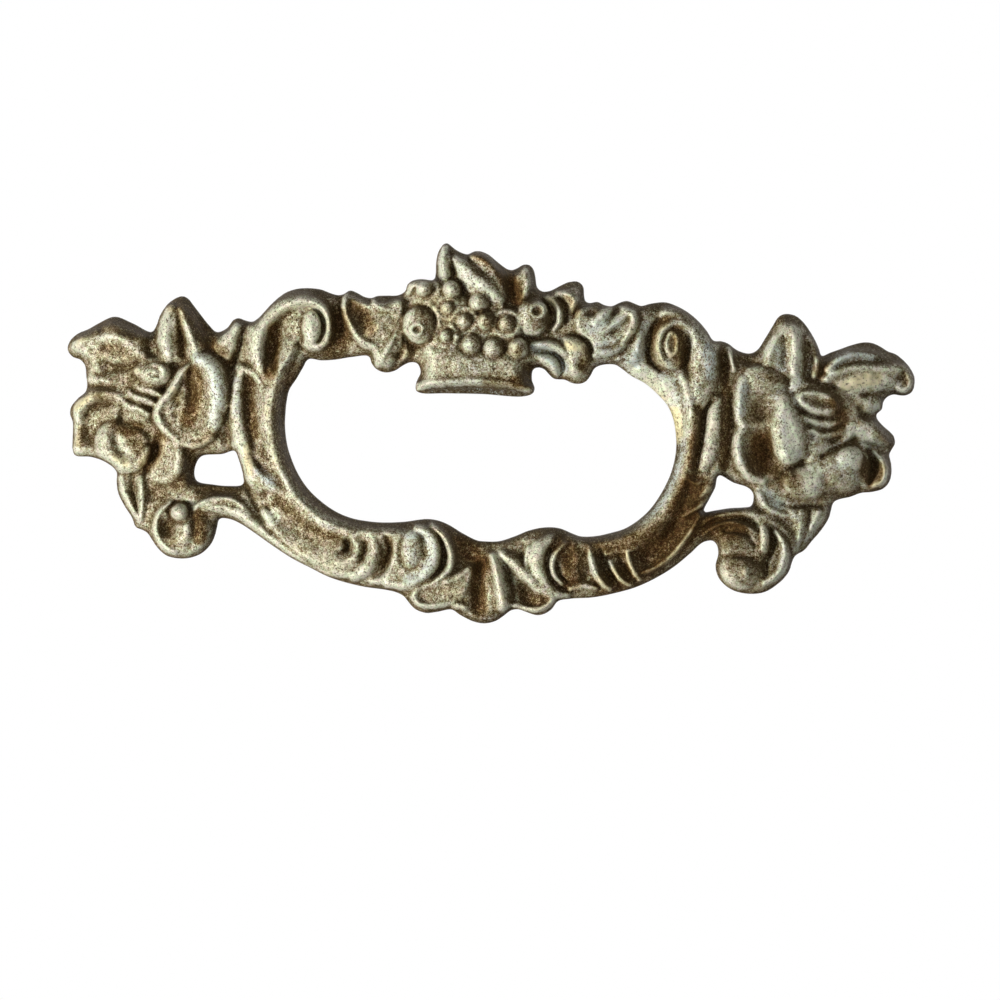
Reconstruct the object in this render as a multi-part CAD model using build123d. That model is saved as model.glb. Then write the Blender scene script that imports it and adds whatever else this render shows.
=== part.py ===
"""Ornamental cast drawer pull: one brass casting on two tapped posts.

X runs across the drawer, +Z is up as the pull hangs, and the drawer face is the plane y = 0 with the
pull in front of it, towards -Y. The origin lies midway between the two posts. Lengths are in millimetres.

The ornament is drawn on the front view. Each group of points is drawn at the drawn sizes below and is
then carried by what it grows from: a flower and its foot scroll by their post, and the frame, basket and
shell by the frame. All of it is raised on a thin plate that bows away from the drawer.
"""
import os
from math import asin, cos, pi, sin

from build123d import *

# Fixing to the drawer front
POST_SPACING = 88.9
POST_RADIUS = 4.0
POST_LENGTH = 10.0
TAP_DRILL_RADIUS = 1.73
TAP_DEPTH = 9.0

# Plate that carries the ornament
BOW_RISE = 7.0
PLATE_THICKNESS = 3.0

# Scroll frame round the hand opening
FLOWER_REACH = 10.45
BAR_WIDTH = 7.5
FRAME_HEIGHT = 40.0
RIDGE_RISE = 3.0
RIDGE_HALF_WIDTH = 1.55

# Relief of the ornament above the plate
FLOWER_RISE = 4.2
LEAF_RISE = 2.6
BASKET_RISE = 4.4
BERRY_RADIUS = 1.35
LARGE_FRUIT_RADIUS = 2.5
SMALL_FRUIT_RADIUS = 2.2
SCROLL_RISE = 3.4
SHELL_RISE = 3.0
SHELL_RIB_HALF_WIDTH = 1.5
CURL_HALF_WIDTH = 0.75
ARM_HALF_WIDTH = 1.6
BASKET_LIP_HALF_WIDTH = 0.9
BUD_RADIUS = 1.1
KNOB_RADIUS = 1.5

# Sizes at which the front view is drawn
DRAWN_POST_X = 44.45
DRAWN_FLOWER_REACH = 10.45
DRAWN_OPENING_X = 26.5
DRAWN_FRAME_HEIGHT = 40.0

# How deep ornament is rooted in the plate
ROOT = 1.4

# Shares of half width and rise: across a raised stroke, then inward over a domed and a dished petal
STROKE_SECTION = ((1, 0.3), (0.6, 0.82), (0, 1), (-0.6, 0.82), (-1, 0.3))
DOME_LAYERS = ((1, 0.35), (0.82, 0.8), (0.45, 1))
DISH_LAYERS = ((1, 0.7), (0.88, 1), (0.62, 0.55), (0.3, 0.35))
STROKE_FULLNESS = 0.6

# Flat facets round a petal and a fruit, and along the bow of the plate
EDGE_FACETS = 10
BEAD_FACETS = 8
BOW_FACETS = 10

opening_x = POST_SPACING / 2 - FLOWER_REACH - BAR_WIDTH
bow_radius = ((POST_SPACING / 2) ** 2 + BOW_RISE**2) / (2 * BOW_RISE)
bow_centre_y = bow_radius - POST_LENGTH - BOW_RISE


def by_left_post(*points):
    """Carry drawn points with the left post, grown about it with the flower."""
    size = FLOWER_REACH / DRAWN_FLOWER_REACH
    return [((x + DRAWN_POST_X) * size - POST_SPACING / 2, z * size) for x, z in points]


def by_right_post(*points):
    """Carry drawn points with the right post, grown about it with the flower."""
    size = FLOWER_REACH / DRAWN_FLOWER_REACH
    return [((x - DRAWN_POST_X) * size + POST_SPACING / 2, z * size) for x, z in points]


def by_frame(*points):
    """Carry drawn points with the frame, which stretches between the flowers."""
    across = opening_x / DRAWN_OPENING_X
    up = FRAME_HEIGHT / DRAWN_FRAME_HEIGHT
    return [(x * across, z * up) for x, z in points]


def seat(x, z, along_x=1.0, along_z=0.0):
    """Plane on the front of the bowed plate: Y points out of the plate and Z along the stroke."""
    front_radius = bow_radius + PLATE_THICKNESS
    turn = asin(x / front_radius)
    out = Vector(sin(turn), -cos(turn), 0)
    along = (Vector(cos(turn), sin(turn), 0) * along_x + Vector(0, 0, along_z)).normalized()
    origin = Vector(x, bow_centre_y - front_radius * cos(turn), z)
    return Plane(origin=origin, x_dir=out.cross(along), z_dir=along)


def skin(rings):
    """Closed solid of flat facets through rings of as many points each, with a flat cap at each end."""
    facets = [Face(Wire.make_polygon(ring)) for ring in (rings[0], rings[-1])]
    for near, far in zip(rings, rings[1:]):
        for k in range(len(near)):
            a, b, c, d = near[k - 1], near[k], far[k], far[k - 1]
            if abs((b - a).cross(c - a).dot(d - a)) < 1e-9:
                facets.append(Face(Wire.make_polygon([a, b, c, d])))
            else:
                facets.append(Face(Wire.make_polygon([a, b, c])))
                facets.append(Face(Wire.make_polygon([a, c, d])))
    return Solid(Shell(facets))


def ridge(points, half_width, rise, start=0.35, end=0.35, sections=7):
    """Raised stroke along a smooth line, rounded over with flat facets, that tapers at its ends."""
    line = Spline(*[Vector(x, 0, z) for x, z in points])
    rings = []
    for k in range(sections):
        share = k / (sections - 1)
        place = line @ share
        way = line % share
        swell = sin(pi * share) ** STROKE_FULLNESS
        a = half_width * (swell + (1 - swell) * ((1 - share) * start + share * end))
        b = rise * (1 + a / half_width) / 2
        outline = [(-a, -ROOT), (a, -ROOT)] + [(a * across, b * up) for across, up in STROKE_SECTION]
        root = seat(place.X, place.Z, way.X, way.Z)
        rings.append([root.from_local_coords(Vector(across, up, 0)) for across, up in outline])
    return skin(rings)


def arcs(points):
    """Closed outline of arcs: each starts at an even point, passes the odd one and ends at the next."""
    stretches = []
    for k in range(0, len(points), 2):
        start, middle, end = (points[(k + step) % len(points)] for step in range(3))
        turn = (middle - start).cross(end - start).length
        straight = turn < 0.02 * (end - start).length ** 2
        stretches.append(Line(start, end) if straight else ThreePointArc(start, middle, end))
    return Wire(stretches)


def petal(outline, layers, facets=EDGE_FACETS):
    """Petal, leaf or boss: a closed smooth outline, rooted in the plate and smaller at each height."""
    middle_x = sum(x for x, z in outline) / len(outline)
    middle_z = sum(z for x, z in outline) / len(outline)
    root = seat(middle_x, middle_z, 0.0, 1.0)
    lean = root.x_dir.X
    edge = Spline(*[Vector((x - middle_x) / lean, 0, z - middle_z) for x, z in outline], periodic=True)
    round_points = [edge @ (k / facets) for k in range(facets)]
    rings = []
    for size, height in ((1, -ROOT), *layers):
        ring = [Vector(p.X * size, height, p.Z * size) for p in round_points]
        rings.append([root.from_local_coords(point) for point in ring])
    return skin(rings)


def lobe(outline, rise):
    """Domed petal or leaf."""
    return petal(outline, [(size, height * rise) for size, height in DOME_LAYERS])


def cup(outline, rise):
    """Dished petal with a rim."""
    return petal(outline, [(size, height * rise) for size, height in DISH_LAYERS])


def bead(x, z, radius, rise):
    """Round fruit that stands out of the plate."""
    turns = [2 * pi * k / BEAD_FACETS for k in range(BEAD_FACETS)]
    ring = [(x + radius * cos(turn), z + radius * sin(turn)) for turn in turns]
    low = rise - radius
    return petal(ring, ((1, low), (0.8, low + 0.6 * radius), (0.35, rise)), BEAD_FACETS)


def flat_face(points):
    """Face on the drawer plane inside an outline of arcs."""
    return make_face(arcs([Vector(x, 0, z) for x, z in points]))


def make_plate():
    """Bowed plate, cut to the outline of the whole pull, with the hand opening and two windows."""
    outline = by_left_post(
        (-54, 1), (-54.1, 3), (-54.6, 4.6), (-56.2, 5.2), (-56.7, 7), (-55.5, 8.5), (-53.5, 9.5),
        (-50.2, 10.9), (-45.3, 9.2), (-44.2, 11.5), (-42.3, 13.7), (-41.2, 14.1), (-40.2, 13.5),
        (-38.6, 11.6), (-36.4, 9.4), (-34.4, 11), (-31.5, 11),
    )
    outline += by_frame(
        (-29.5, 13), (-27, 15.2), (-24, 15.8), (-21, 15.2), (-20, 15), (-19.3, 15.2), (-17.3, 15.2),
        (-15.5, 14.8), (-13.3, 15.1), (-11, 15.9), (-10.2, 17.2), (-7, 17.5), (-7.1, 20.2), (-5.6, 22.6),
        (-4.6, 21.8), (-2.8, 21.2), (0, 21.3), (2.5, 19.5), (4.6, 20.3), (6.5, 18.5), (7, 16.9), (8.5, 16.7),
        (11, 18.1), (13.2, 17), (13.3, 15.8), (15, 15.3), (17.5, 15.4), (19, 15.8), (20, 15.5), (21, 15.2),
        (24.5, 15.9), (28, 14.2), (29.9, 12.4), (31, 10.9),
    )
    outline += by_right_post(
        (32.5, 11), (34, 9.9), (35.8, 9.4), (37, 9.9), (38.6, 13.2), (41, 15), (43.5, 14), (45.8, 9.6),
        (49, 10.8), (52.5, 11.6), (56.6, 10), (58.8, 6.5), (58.2, 4.9), (56.5, 4.6), (55, 4.2), (54.3, 2.2),
        (55.6, 0), (56.4, -1.8), (56.2, -2.8), (55.7, -3.5), (56.2, -5.8), (55, -8.2), (52, -9),
        (48.3, -10.3), (47.2, -13.5), (43.2, -18), (42.4, -20.3), (39.5, -22.8), (36.5, -23.1),
        (33.5, -21.8), (32.4, -19.8), (32.7, -16.9),
    )
    outline += by_frame(
        (31.6, -16.3), (30.3, -16.8), (27, -19.8), (22, -22.8), (17, -24.4), (11.3, -25.2), (9.6, -27),
        (6.5, -26.5), (4.5, -27.3), (1.5, -28.6), (-1, -28.1), (-3, -26.9), (-6.5, -27.5), (-9.3, -25.6),
        (-9.8, -25.1), (-10.5, -24.9), (-16, -24.2), (-22, -22.2), (-28, -19.1), (-31, -17.1),
    )
    outline += by_left_post(
        (-33, -16.1), (-35.1, -15.8), (-35.6, -18.4), (-37.3, -20.7), (-40.5, -21.6), (-43.2, -20.3),
        (-44.3, -18.8), (-45.5, -18), (-48.3, -14.5), (-49.2, -10), (-51.5, -8.5), (-55.2, -8.1),
        (-56, -5), (-56.1, -2), (-55.3, -0.4),
    )
    hand_opening = by_frame(
        (-23.8, 6.3), (-18.5, 6.7), (-15.5, 6.9), (-14.6, 5.2), (-13.3, 4.8), (-11.5, 5.4), (-10, 6.3),
        (-9, 5.8), (-8.8, 4), (-9.1, 2.8), (-8.3, 2.2), (-1, 2.4), (5.5, 2.3), (6.9, 3), (6.6, 4.5),
        (7.2, 6.2), (8.7, 5.6), (10.4, 4.8), (11.2, 4.8), (12.8, 4.3), (14.3, 5.2), (15.5, 6.8), (17.8, 7.1),
        (21.5, 5), (24.7, 2.4), (26.4, -2.5), (25, -9.5), (22, -13.6), (16.5, -16.1), (12.5, -15.7),
        (10, -15.2), (6.2, -16.1), (2, -17.5), (-0.5, -17.4), (-4, -15.4), (-7, -14.7), (-12, -15.5),
        (-19, -14.4), (-24.5, -9.5), (-26.7, -2), (-25.3, 3.5), (-24.6, 4.9),
    )
    left_window = by_left_post((-36, -7.2), (-38, -7.8), (-38.7, -9.7), (-38.2, -11), (-35.2, -11.4))
    left_window += by_frame((-32, -11.2), (-32.2, -9), (-33.3, -6.6))
    left_window = left_window[-1:] + left_window[:-1]
    right_window = by_right_post((35, -8.3), (37, -9.4), (37.3, -10.4), (36.6, -11.4), (33.5, -11.8))
    right_window += by_frame((30.6, -12.3), (31.2, -9.8), (32.4, -7.3))
    right_window = right_window[-1:] + right_window[:-1]
    front = flat_face(outline) - [flat_face(edge) for edge in (hand_opening, left_window, right_window)]
    depth = POST_LENGTH + BOW_RISE + PLATE_THICKNESS
    half_turn = asin(POST_SPACING / bow_radius)
    turns = [half_turn * (2 * k / BOW_FACETS - 1) for k in range(BOW_FACETS + 1)]
    section = []
    for radius, way in ((bow_radius, 1), (bow_radius + PLATE_THICKNESS, -1)):
        section += [(radius * sin(turn), bow_centre_y - radius * cos(turn)) for turn in turns[::way]]
    bowed = extrude(make_face(Polyline(*section, close=True)), 2 * FRAME_HEIGHT, both=True)
    return extrude(front, depth, dir=(0, -1, 0)) & bowed


def make_frame():
    """Double-ridged C-scroll bars round the opening, each with a volute and its eye at the top."""
    bars = (
        ((-25.8, 8.6), (-27.6, 4), (-28.5, 0), (-28.4, -4), (-27.2, -9), (-24.5, -13), (-20.5, -15.9),
         (-12, -17)),
        ((-30.5, 7), (-32.4, 4), (-33.2, 0), (-32.9, -5), (-31.2, -10.5), (-28, -15.6), (-22, -20.4),
         (-13, -23.4)),
        ((24, 7.4), (26.2, 4), (27.4, 0), (27.6, -4), (26.6, -9), (24, -13.2), (20, -16), (13, -17.3)),
        ((31.4, 3.5), (31.8, 0), (31.2, -5), (30, -10), (28.2, -14), (25.4, -18), (21, -21.2),
         (14, -23.4)),
    )
    volutes = (
        ((-30.6, 5), (-30.3, 9.5), (-28.3, 13), (-25, 14.4), (-22.2, 13.2), (-21, 10.8), (-22, 8.4),
         (-23.8, 8)),
        ((30.2, 3), (30, 8), (28.4, 12), (24.8, 14.2), (22.2, 12.6), (21.7, 9.8), (23.2, 7.6),
         (25.2, 7.8)),
    )
    eyes = (
        ((-24.8, 10.6), (-23.7, 12.4), (-22.6, 10.6), (-23.7, 8.9)),
        ((24.2, 10.2), (25.1, 11.7), (26, 10.2), (25.1, 8.8)),
    )
    pieces = [ridge(by_frame(*line), RIDGE_HALF_WIDTH, RIDGE_RISE, sections=8) for line in bars]
    pieces += [ridge(by_frame(*line), 0.8 * RIDGE_HALF_WIDTH, RIDGE_RISE, sections=9) for line in volutes]
    return pieces + [lobe(by_frame(*eye), 0.9 * RIDGE_RISE) for eye in eyes]


def make_left_flower():
    """Open flower at the left end: dished and domed petals round a pistil, with its leaves."""
    high, low = FLOWER_RISE, LEAF_RISE
    petals = (
        (lobe, low, ((-46, 6), (-50, 9.8), (-54, 8.7), (-56.2, 7), (-53.5, 5), (-50, 4))),
        (lobe, 0.8 * high, ((-44.2, 5), (-44.3, 9.5), (-41.4, 13.4), (-38.9, 10.5), (-37.2, 6), (-41, 4.5))),
        (lobe, low, ((-36.6, 4.6), (-36, 8.4), (-32.8, 10.7), (-31.6, 8.5), (-32.2, 5.5), (-34.5, 4.4))),
        (cup, high, ((-41.3, 3.2), (-43.9, -1), (-42.6, -5.4), (-39, -6.2), (-35.5, -4), (-34.9, 0),
         (-35.3, 4.4), (-38.6, 5.7))),
        (cup, 0.7 * high, ((-50.3, 0.8), (-54.3, 0.4), (-55.8, -2.4), (-55.2, -7.6), (-52, -6.6),
         (-50.6, -3))),
        (lobe, 0.95 * high, ((-50.8, -3.5), (-51, -8), (-48, -10), (-45.5, -8.5), (-44.8, -4.5),
         (-47.5, -2.2))),
        (lobe, 0.8 * high, ((-44, -4.5), (-45.3, -8.5), (-43, -11.6), (-40.4, -9.8), (-39.6, -6.4),
         (-41.6, -5.2))),
        (lobe, 0.85 * low, ((-47.5, -9.5), (-48.8, -12.5), (-46.5, -17), (-44.5, -15), (-44, -12),
         (-45.2, -9.6))),
        (lobe, 0.7 * high, ((-50, 3.2), (-48.5, 5.5), (-44, 5.6), (-42.8, 2), (-44.4, -2.4), (-49, -1.5))),
    )
    curls = (
        (1.1 * high, ((-47, 1.6), (-46.6, 4), (-44.7, 4.8), (-43.4, 2.8))),
        (0.95 * high, ((-48.6, -0.6), (-46.4, 0.1), (-44, -0.8))),
    )
    pieces = [form(by_left_post(*points), rise) for form, rise, points in petals]
    return pieces + [ridge(by_left_post(*points), CURL_HALF_WIDTH, rise) for rise, points in curls]


def make_right_flower():
    """Open flower at the right end, with its leaves and the hooked leaf at the tip."""
    high, low = FLOWER_RISE, LEAF_RISE
    petals = (
        (lobe, 0.8 * high, ((37.4, 7), (38.7, 12), (41, 14.6), (44, 12.4), (45.2, 8), (41.5, 5))),
        (cup, high, ((34, 4), (36, 7.4), (40.5, 6.6), (41.6, 2), (41, -4), (38.5, -8), (35, -6.6),
         (33.9, -1))),
        (lobe, 1.1 * high, ((40.2, 4), (42.8, 1.6), (44.3, -1.5), (43.4, -4.8), (40.6, -4.6), (39.7, -0.5))),
        (lobe, 0.75 * high, ((43, 5), (46, 6.2), (49.5, 4.6), (50, 1.6), (47, -0.8), (43.5, 0.6))),
        (lobe, low, ((46.2, 6), (48.5, 9.8), (52.5, 11.2), (57.6, 8.8), (56.8, 6), (50.5, 4.4))),
        (lobe, 0.8 * low, ((50.4, 4.6), (53.5, 4.8), (54, 2.6), (52.4, 1.4), (50.2, 1.4), (49.6, 3.2))),
        (lobe, low, ((50, 0.8), (53.6, 1.2), (56, -1.2), (55.4, -2.8), (53.5, -2.6), (50, -1.8))),
        (cup, 0.7 * high, ((51.8, -2.8), (54.4, -2.4), (55.8, -5), (54.6, -8), (52.2, -8.4), (51, -5.5))),
        (lobe, 0.95 * high, ((47, -3), (50, -2.2), (52.8, -4.6), (52.2, -8.2), (49, -9.4), (46.4, -6.8))),
        (lobe, 0.8 * high, ((41, -6), (44.5, -4.7), (46.8, -6.8), (46.4, -10), (43.2, -10.5), (41, -9.6))),
        (lobe, 0.85 * low, ((42, -10.2), (46, -10.4), (47.3, -12.8), (43.6, -17.4), (42, -16), (41.5, -13))),
    )
    curls = (
        (1.1 * high, ((44.2, 2.6), (45.2, 4.4), (47.2, 4.3), (48.2, 2.6))),
    )
    pieces = [form(by_right_post(*points), rise) for form, rise, points in petals]
    return pieces + [ridge(by_right_post(*points), CURL_HALF_WIDTH, rise) for rise, points in curls]


def make_foot_scrolls():
    """Rolled foot under each flower, with its curl, bud and the arm that runs into the frame."""
    rise = SCROLL_RISE
    left_boss = by_left_post(
        (-43.8, -17.5), (-42.5, -20.4), (-39.5, -21.1), (-36.3, -19.5), (-36.5, -16), (-40, -13.6),
    )
    left_curl = by_left_post((-41.2, -14), (-43, -16.3), (-42.6, -19.3), (-40.6, -20.2), (-39.2, -18.6))
    left_bud = by_left_post((-40.2, -15))[0]
    left_arm = by_left_post((-39.5, -15), (-37.5, -14.3), (-35.5, -14))
    left_arm += by_frame((-32.5, -14.6), (-30, -16.6), (-27, -19))
    right_boss = by_right_post(
        (33, -19.5), (34.5, -22), (38, -22.7), (41.6, -21), (42.4, -17.8), (40, -14.4), (36, -14.6),
        (33.4, -16.5),
    )
    right_curl = by_right_post((39, -14), (41.5, -15.6), (42, -18.4), (40.6, -21), (38, -21.6))
    right_knob = by_right_post((37, -19.4))[0]
    right_arm = by_right_post((38, -14.6), (36, -13.7), (33.8, -13.4))
    right_arm += by_frame((31, -14.2), (29, -16), (26.6, -18.6))
    pieces = [lobe(boss, 0.7 * rise) for boss in (left_boss, right_boss)]
    pieces += [ridge(curl, CURL_HALF_WIDTH, rise) for curl in (left_curl, right_curl)]
    pieces += [ridge(arm, ARM_HALF_WIDTH, 0.9 * rise, end=0.6) for arm in (left_arm, right_arm)]
    return pieces + [bead(*left_bud, BUD_RADIUS, 1.1 * rise), bead(*right_knob, KNOB_RADIUS, rise)]


def make_basket():
    """Basket of fruit on the top of the frame: bowl, lip, heaped berries and two larger fruits."""
    bowl = by_frame((-8.6, 3), (-1, 2.7), (6.4, 3), (5.6, 5.5), (6.4, 8.6), (-1, 10), (-8, 8.4), (-7.4, 5.5))
    lip = by_frame((-8.7, 3.3), (-5, 3.6), (-1, 3.7), (3, 3.6), (6.5, 3.3))
    berries = (
        (-8.3, 16.2), (-4.8, 16.4), (-5.2, 13.7), (-2.8, 12), (-0.6, 14.5), (0.4, 12), (3, 12.2),
        (-5.2, 10.3), (-1.6, 9.1), (1.5, 8.7), (4.6, 9),
    )
    fruit = (((-8.8, 11.4), LARGE_FRUIT_RADIUS), ((7, 13.2), SMALL_FRUIT_RADIUS))
    pieces = [lobe(bowl, BASKET_RISE)]
    pieces.append(ridge(lip, BASKET_LIP_HALF_WIDTH, 1.15 * BASKET_RISE, start=0.8, end=0.8))
    pieces += [bead(*by_frame(place)[0], BERRY_RADIUS, BASKET_RISE) for place in berries]
    return pieces + [bead(*by_frame(place)[0], radius, BASKET_RISE) for place, radius in fruit]


def make_top_leaves():
    """Leaves that spread from the basket: the tall ones above it and the dished ones at each side."""
    low = LEAF_RISE
    leaves = (
        (cup, low, ((-18.7, 14.8), (-19, 12.4), (-17.4, 9.6), (-14.5, 8), (-11.2, 8.4), (-10.8, 12),
         (-12.5, 14.8), (-15.8, 14.3))),
        (lobe, low, ((-15, 7.7), (-14.6, 5.8), (-12.8, 5.2), (-10.5, 6.6), (-9.6, 8.4), (-12.6, 9))),
        (cup, low, ((12.6, 14.8), (12.2, 10.8), (15.2, 8), (18.6, 8.6), (20.6, 11.6), (20.4, 14.8),
         (17.4, 14.4), (15, 14.9))),
        (lobe, 1.2 * low, ((10.4, 9.2), (10.4, 6), (12.4, 4.8), (14.1, 5.8), (14.6, 8), (12.6, 9.6))),
        (lobe, 1.2 * low, ((6.8, 9.2), (7, 6.8), (8.8, 6), (10.4, 5.4), (10.6, 7.6), (9, 9.6))),
        (lobe, low, ((-6.6, 18), (-6.8, 20.6), (-5.5, 22.2), (-4.1, 20.4), (-3.6, 17.6), (-5, 16.2))),
        (lobe, 1.3 * low, ((-3.6, 20.6), (-0.8, 21.3), (2.2, 19.2), (2.8, 15.8), (0, 15.2), (-3, 17.4))),
        (lobe, 1.1 * low, ((2.4, 18.6), (4.8, 19.8), (6.2, 18.6), (6, 15.6), (4.2, 14.8), (2.6, 16.2))),
        (lobe, low, ((6.8, 16), (9.2, 16.8), (12, 17.7), (12.8, 15.8), (10.5, 13.6), (7.6, 14.2))),
    )
    return [form(by_frame(*points), rise) for form, rise, points in leaves]


def make_lower_scrolls():
    """Crescents and bosses on the bottom bar, at each side of the shell."""
    crescents = (
        ((-9.6, -16.2), (-6.8, -17.2), (-5.6, -19.6), (-6.4, -22), (-8.8, -23.6)),
        ((-6.2, -15.8), (-3.8, -18), (-3.6, -21), (-5.4, -23.6)),
        ((-11.6, -17.4), (-11.4, -19.8), (-12.6, -22.4)),
        ((9, -16.4), (8.4, -18.8), (8.8, -21.6), (10.6, -23.8)),
        ((11.8, -17), (10.6, -19.4), (11.6, -22.6)),
        ((15.2, -18), (15.8, -20.4), (17.6, -22.8)),
        ((18.2, -17.8), (18.8, -20), (20.6, -22)),
    )
    bosses = (
        ((-10.2, -19), (-9.6, -21.6), (-8.2, -21.8), (-7.2, -19), (-8, -16.8), (-9.6, -17)),
        ((11.8, -20), (12.6, -22), (14, -22), (14.3, -19.4), (13.2, -17.6), (12.2, -18)),
    )
    pieces = [ridge(by_frame(*line), CURL_HALF_WIDTH, 1.15 * RIDGE_RISE) for line in crescents]
    return pieces + [lobe(by_frame(*boss), 0.9 * RIDGE_RISE) for boss in bosses]


def make_shell():
    """Fluted shell under the bottom bar: ribs that spread from one point and end in round lobes."""
    ribs = (
        ((-1.2, -20.6), (-4, -23.2), (-7.4, -25.6)),
        ((0.2, -20.4), (-0.9, -23.4), (-2.6, -26)),
        ((1.6, -20.2), (1.3, -23.6), (1.1, -27.4)),
        ((2.9, -20.4), (3.6, -23.4), (4.8, -26.2)),
        ((4.3, -20.6), (6.4, -22.9), (9, -25.3)),
    )
    return [
        ridge(by_frame(*line), SHELL_RIB_HALF_WIDTH, SHELL_RISE, start=0.3, end=0.8, sections=5)
        for line in ribs
    ]


def make_posts():
    """Round posts from the plate back to the drawer face, at the screw spacing."""
    depth = POST_LENGTH + PLATE_THICKNESS / 2
    places = [(side * POST_SPACING / 2, 0) for side in (-1, 1)]
    posts = [Pos(x, -depth / 2, z) * Rot(90, 0, 0) * Cylinder(POST_RADIUS, depth) for x, z in places]
    bore = Rot(90, 0, 0) * Cylinder(TAP_DRILL_RADIUS, TAP_DEPTH)
    return posts, [Pos(x, -TAP_DEPTH / 2, z) * bore for x, z in places]


def make_casting():
    """The whole pull as one casting."""
    posts, bores = make_posts()
    ornament = make_frame() + make_left_flower() + make_right_flower() + make_foot_scrolls()
    ornament += make_basket() + make_top_leaves() + make_lower_scrolls() + make_shell()
    return make_plate() + ornament + posts - bores


os.makedirs("parts", exist_ok=True)
casting = make_casting()
casting.label = "pull_casting"
export_step(casting, "parts/pull_casting.step")
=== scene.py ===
"""Worn cast drawer pull: two flowers, scroll bars, a basket of fruit and a shell round a hand opening.

The pull is made the way its pattern was carved. A thin blank is cut to the outline of the pull, each
group of ornament is raised on it as heights above the back, and the finished relief is bowed over the
two posts. The ornament is drawn on the front view in millimetres, x to the right and z up, from the point
midway between the posts. Blender's own lengths are metres.
"""

from math import ceil, cos, pi, radians, sin, sqrt

import bpy
import numpy as np
from bpy.props import FloatProperty, FloatVectorProperty, PointerProperty
from mathutils import Matrix, Vector, noise
from mathutils.kdtree import KDTree


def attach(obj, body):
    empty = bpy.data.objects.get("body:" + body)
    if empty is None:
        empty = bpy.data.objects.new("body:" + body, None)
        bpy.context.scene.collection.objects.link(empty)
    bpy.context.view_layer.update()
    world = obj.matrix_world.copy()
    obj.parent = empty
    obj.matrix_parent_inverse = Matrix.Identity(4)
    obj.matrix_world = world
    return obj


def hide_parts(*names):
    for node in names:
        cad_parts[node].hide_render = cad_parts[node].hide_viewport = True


bl_info = {
    "name": "Ornamental Drawer Pull",
    "version": (1, 0, 0),
    "blender": (4, 5, 0),
    "location": "3D View > Sidebar > Drawer Pull",
    "description": "Builds a worn cast drawer pull round its fixing frame",
    "category": "Object",
}

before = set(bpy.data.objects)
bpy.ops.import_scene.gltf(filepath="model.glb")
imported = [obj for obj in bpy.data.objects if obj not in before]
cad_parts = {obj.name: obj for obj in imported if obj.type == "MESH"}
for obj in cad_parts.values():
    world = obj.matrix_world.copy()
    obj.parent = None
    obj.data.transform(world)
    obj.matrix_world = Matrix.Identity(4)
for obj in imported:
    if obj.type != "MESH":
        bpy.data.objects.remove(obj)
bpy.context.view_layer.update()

# Millimetre of the drawing in Blender's metres
MM = 0.001

CASTING = "pull_casting_relief"
POSTS = "pull_posts"

# Numbers kept for each vertex while the blank is carved
MARKS = ("height", "edge_width", "edge_height", "light", "warm")


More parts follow.
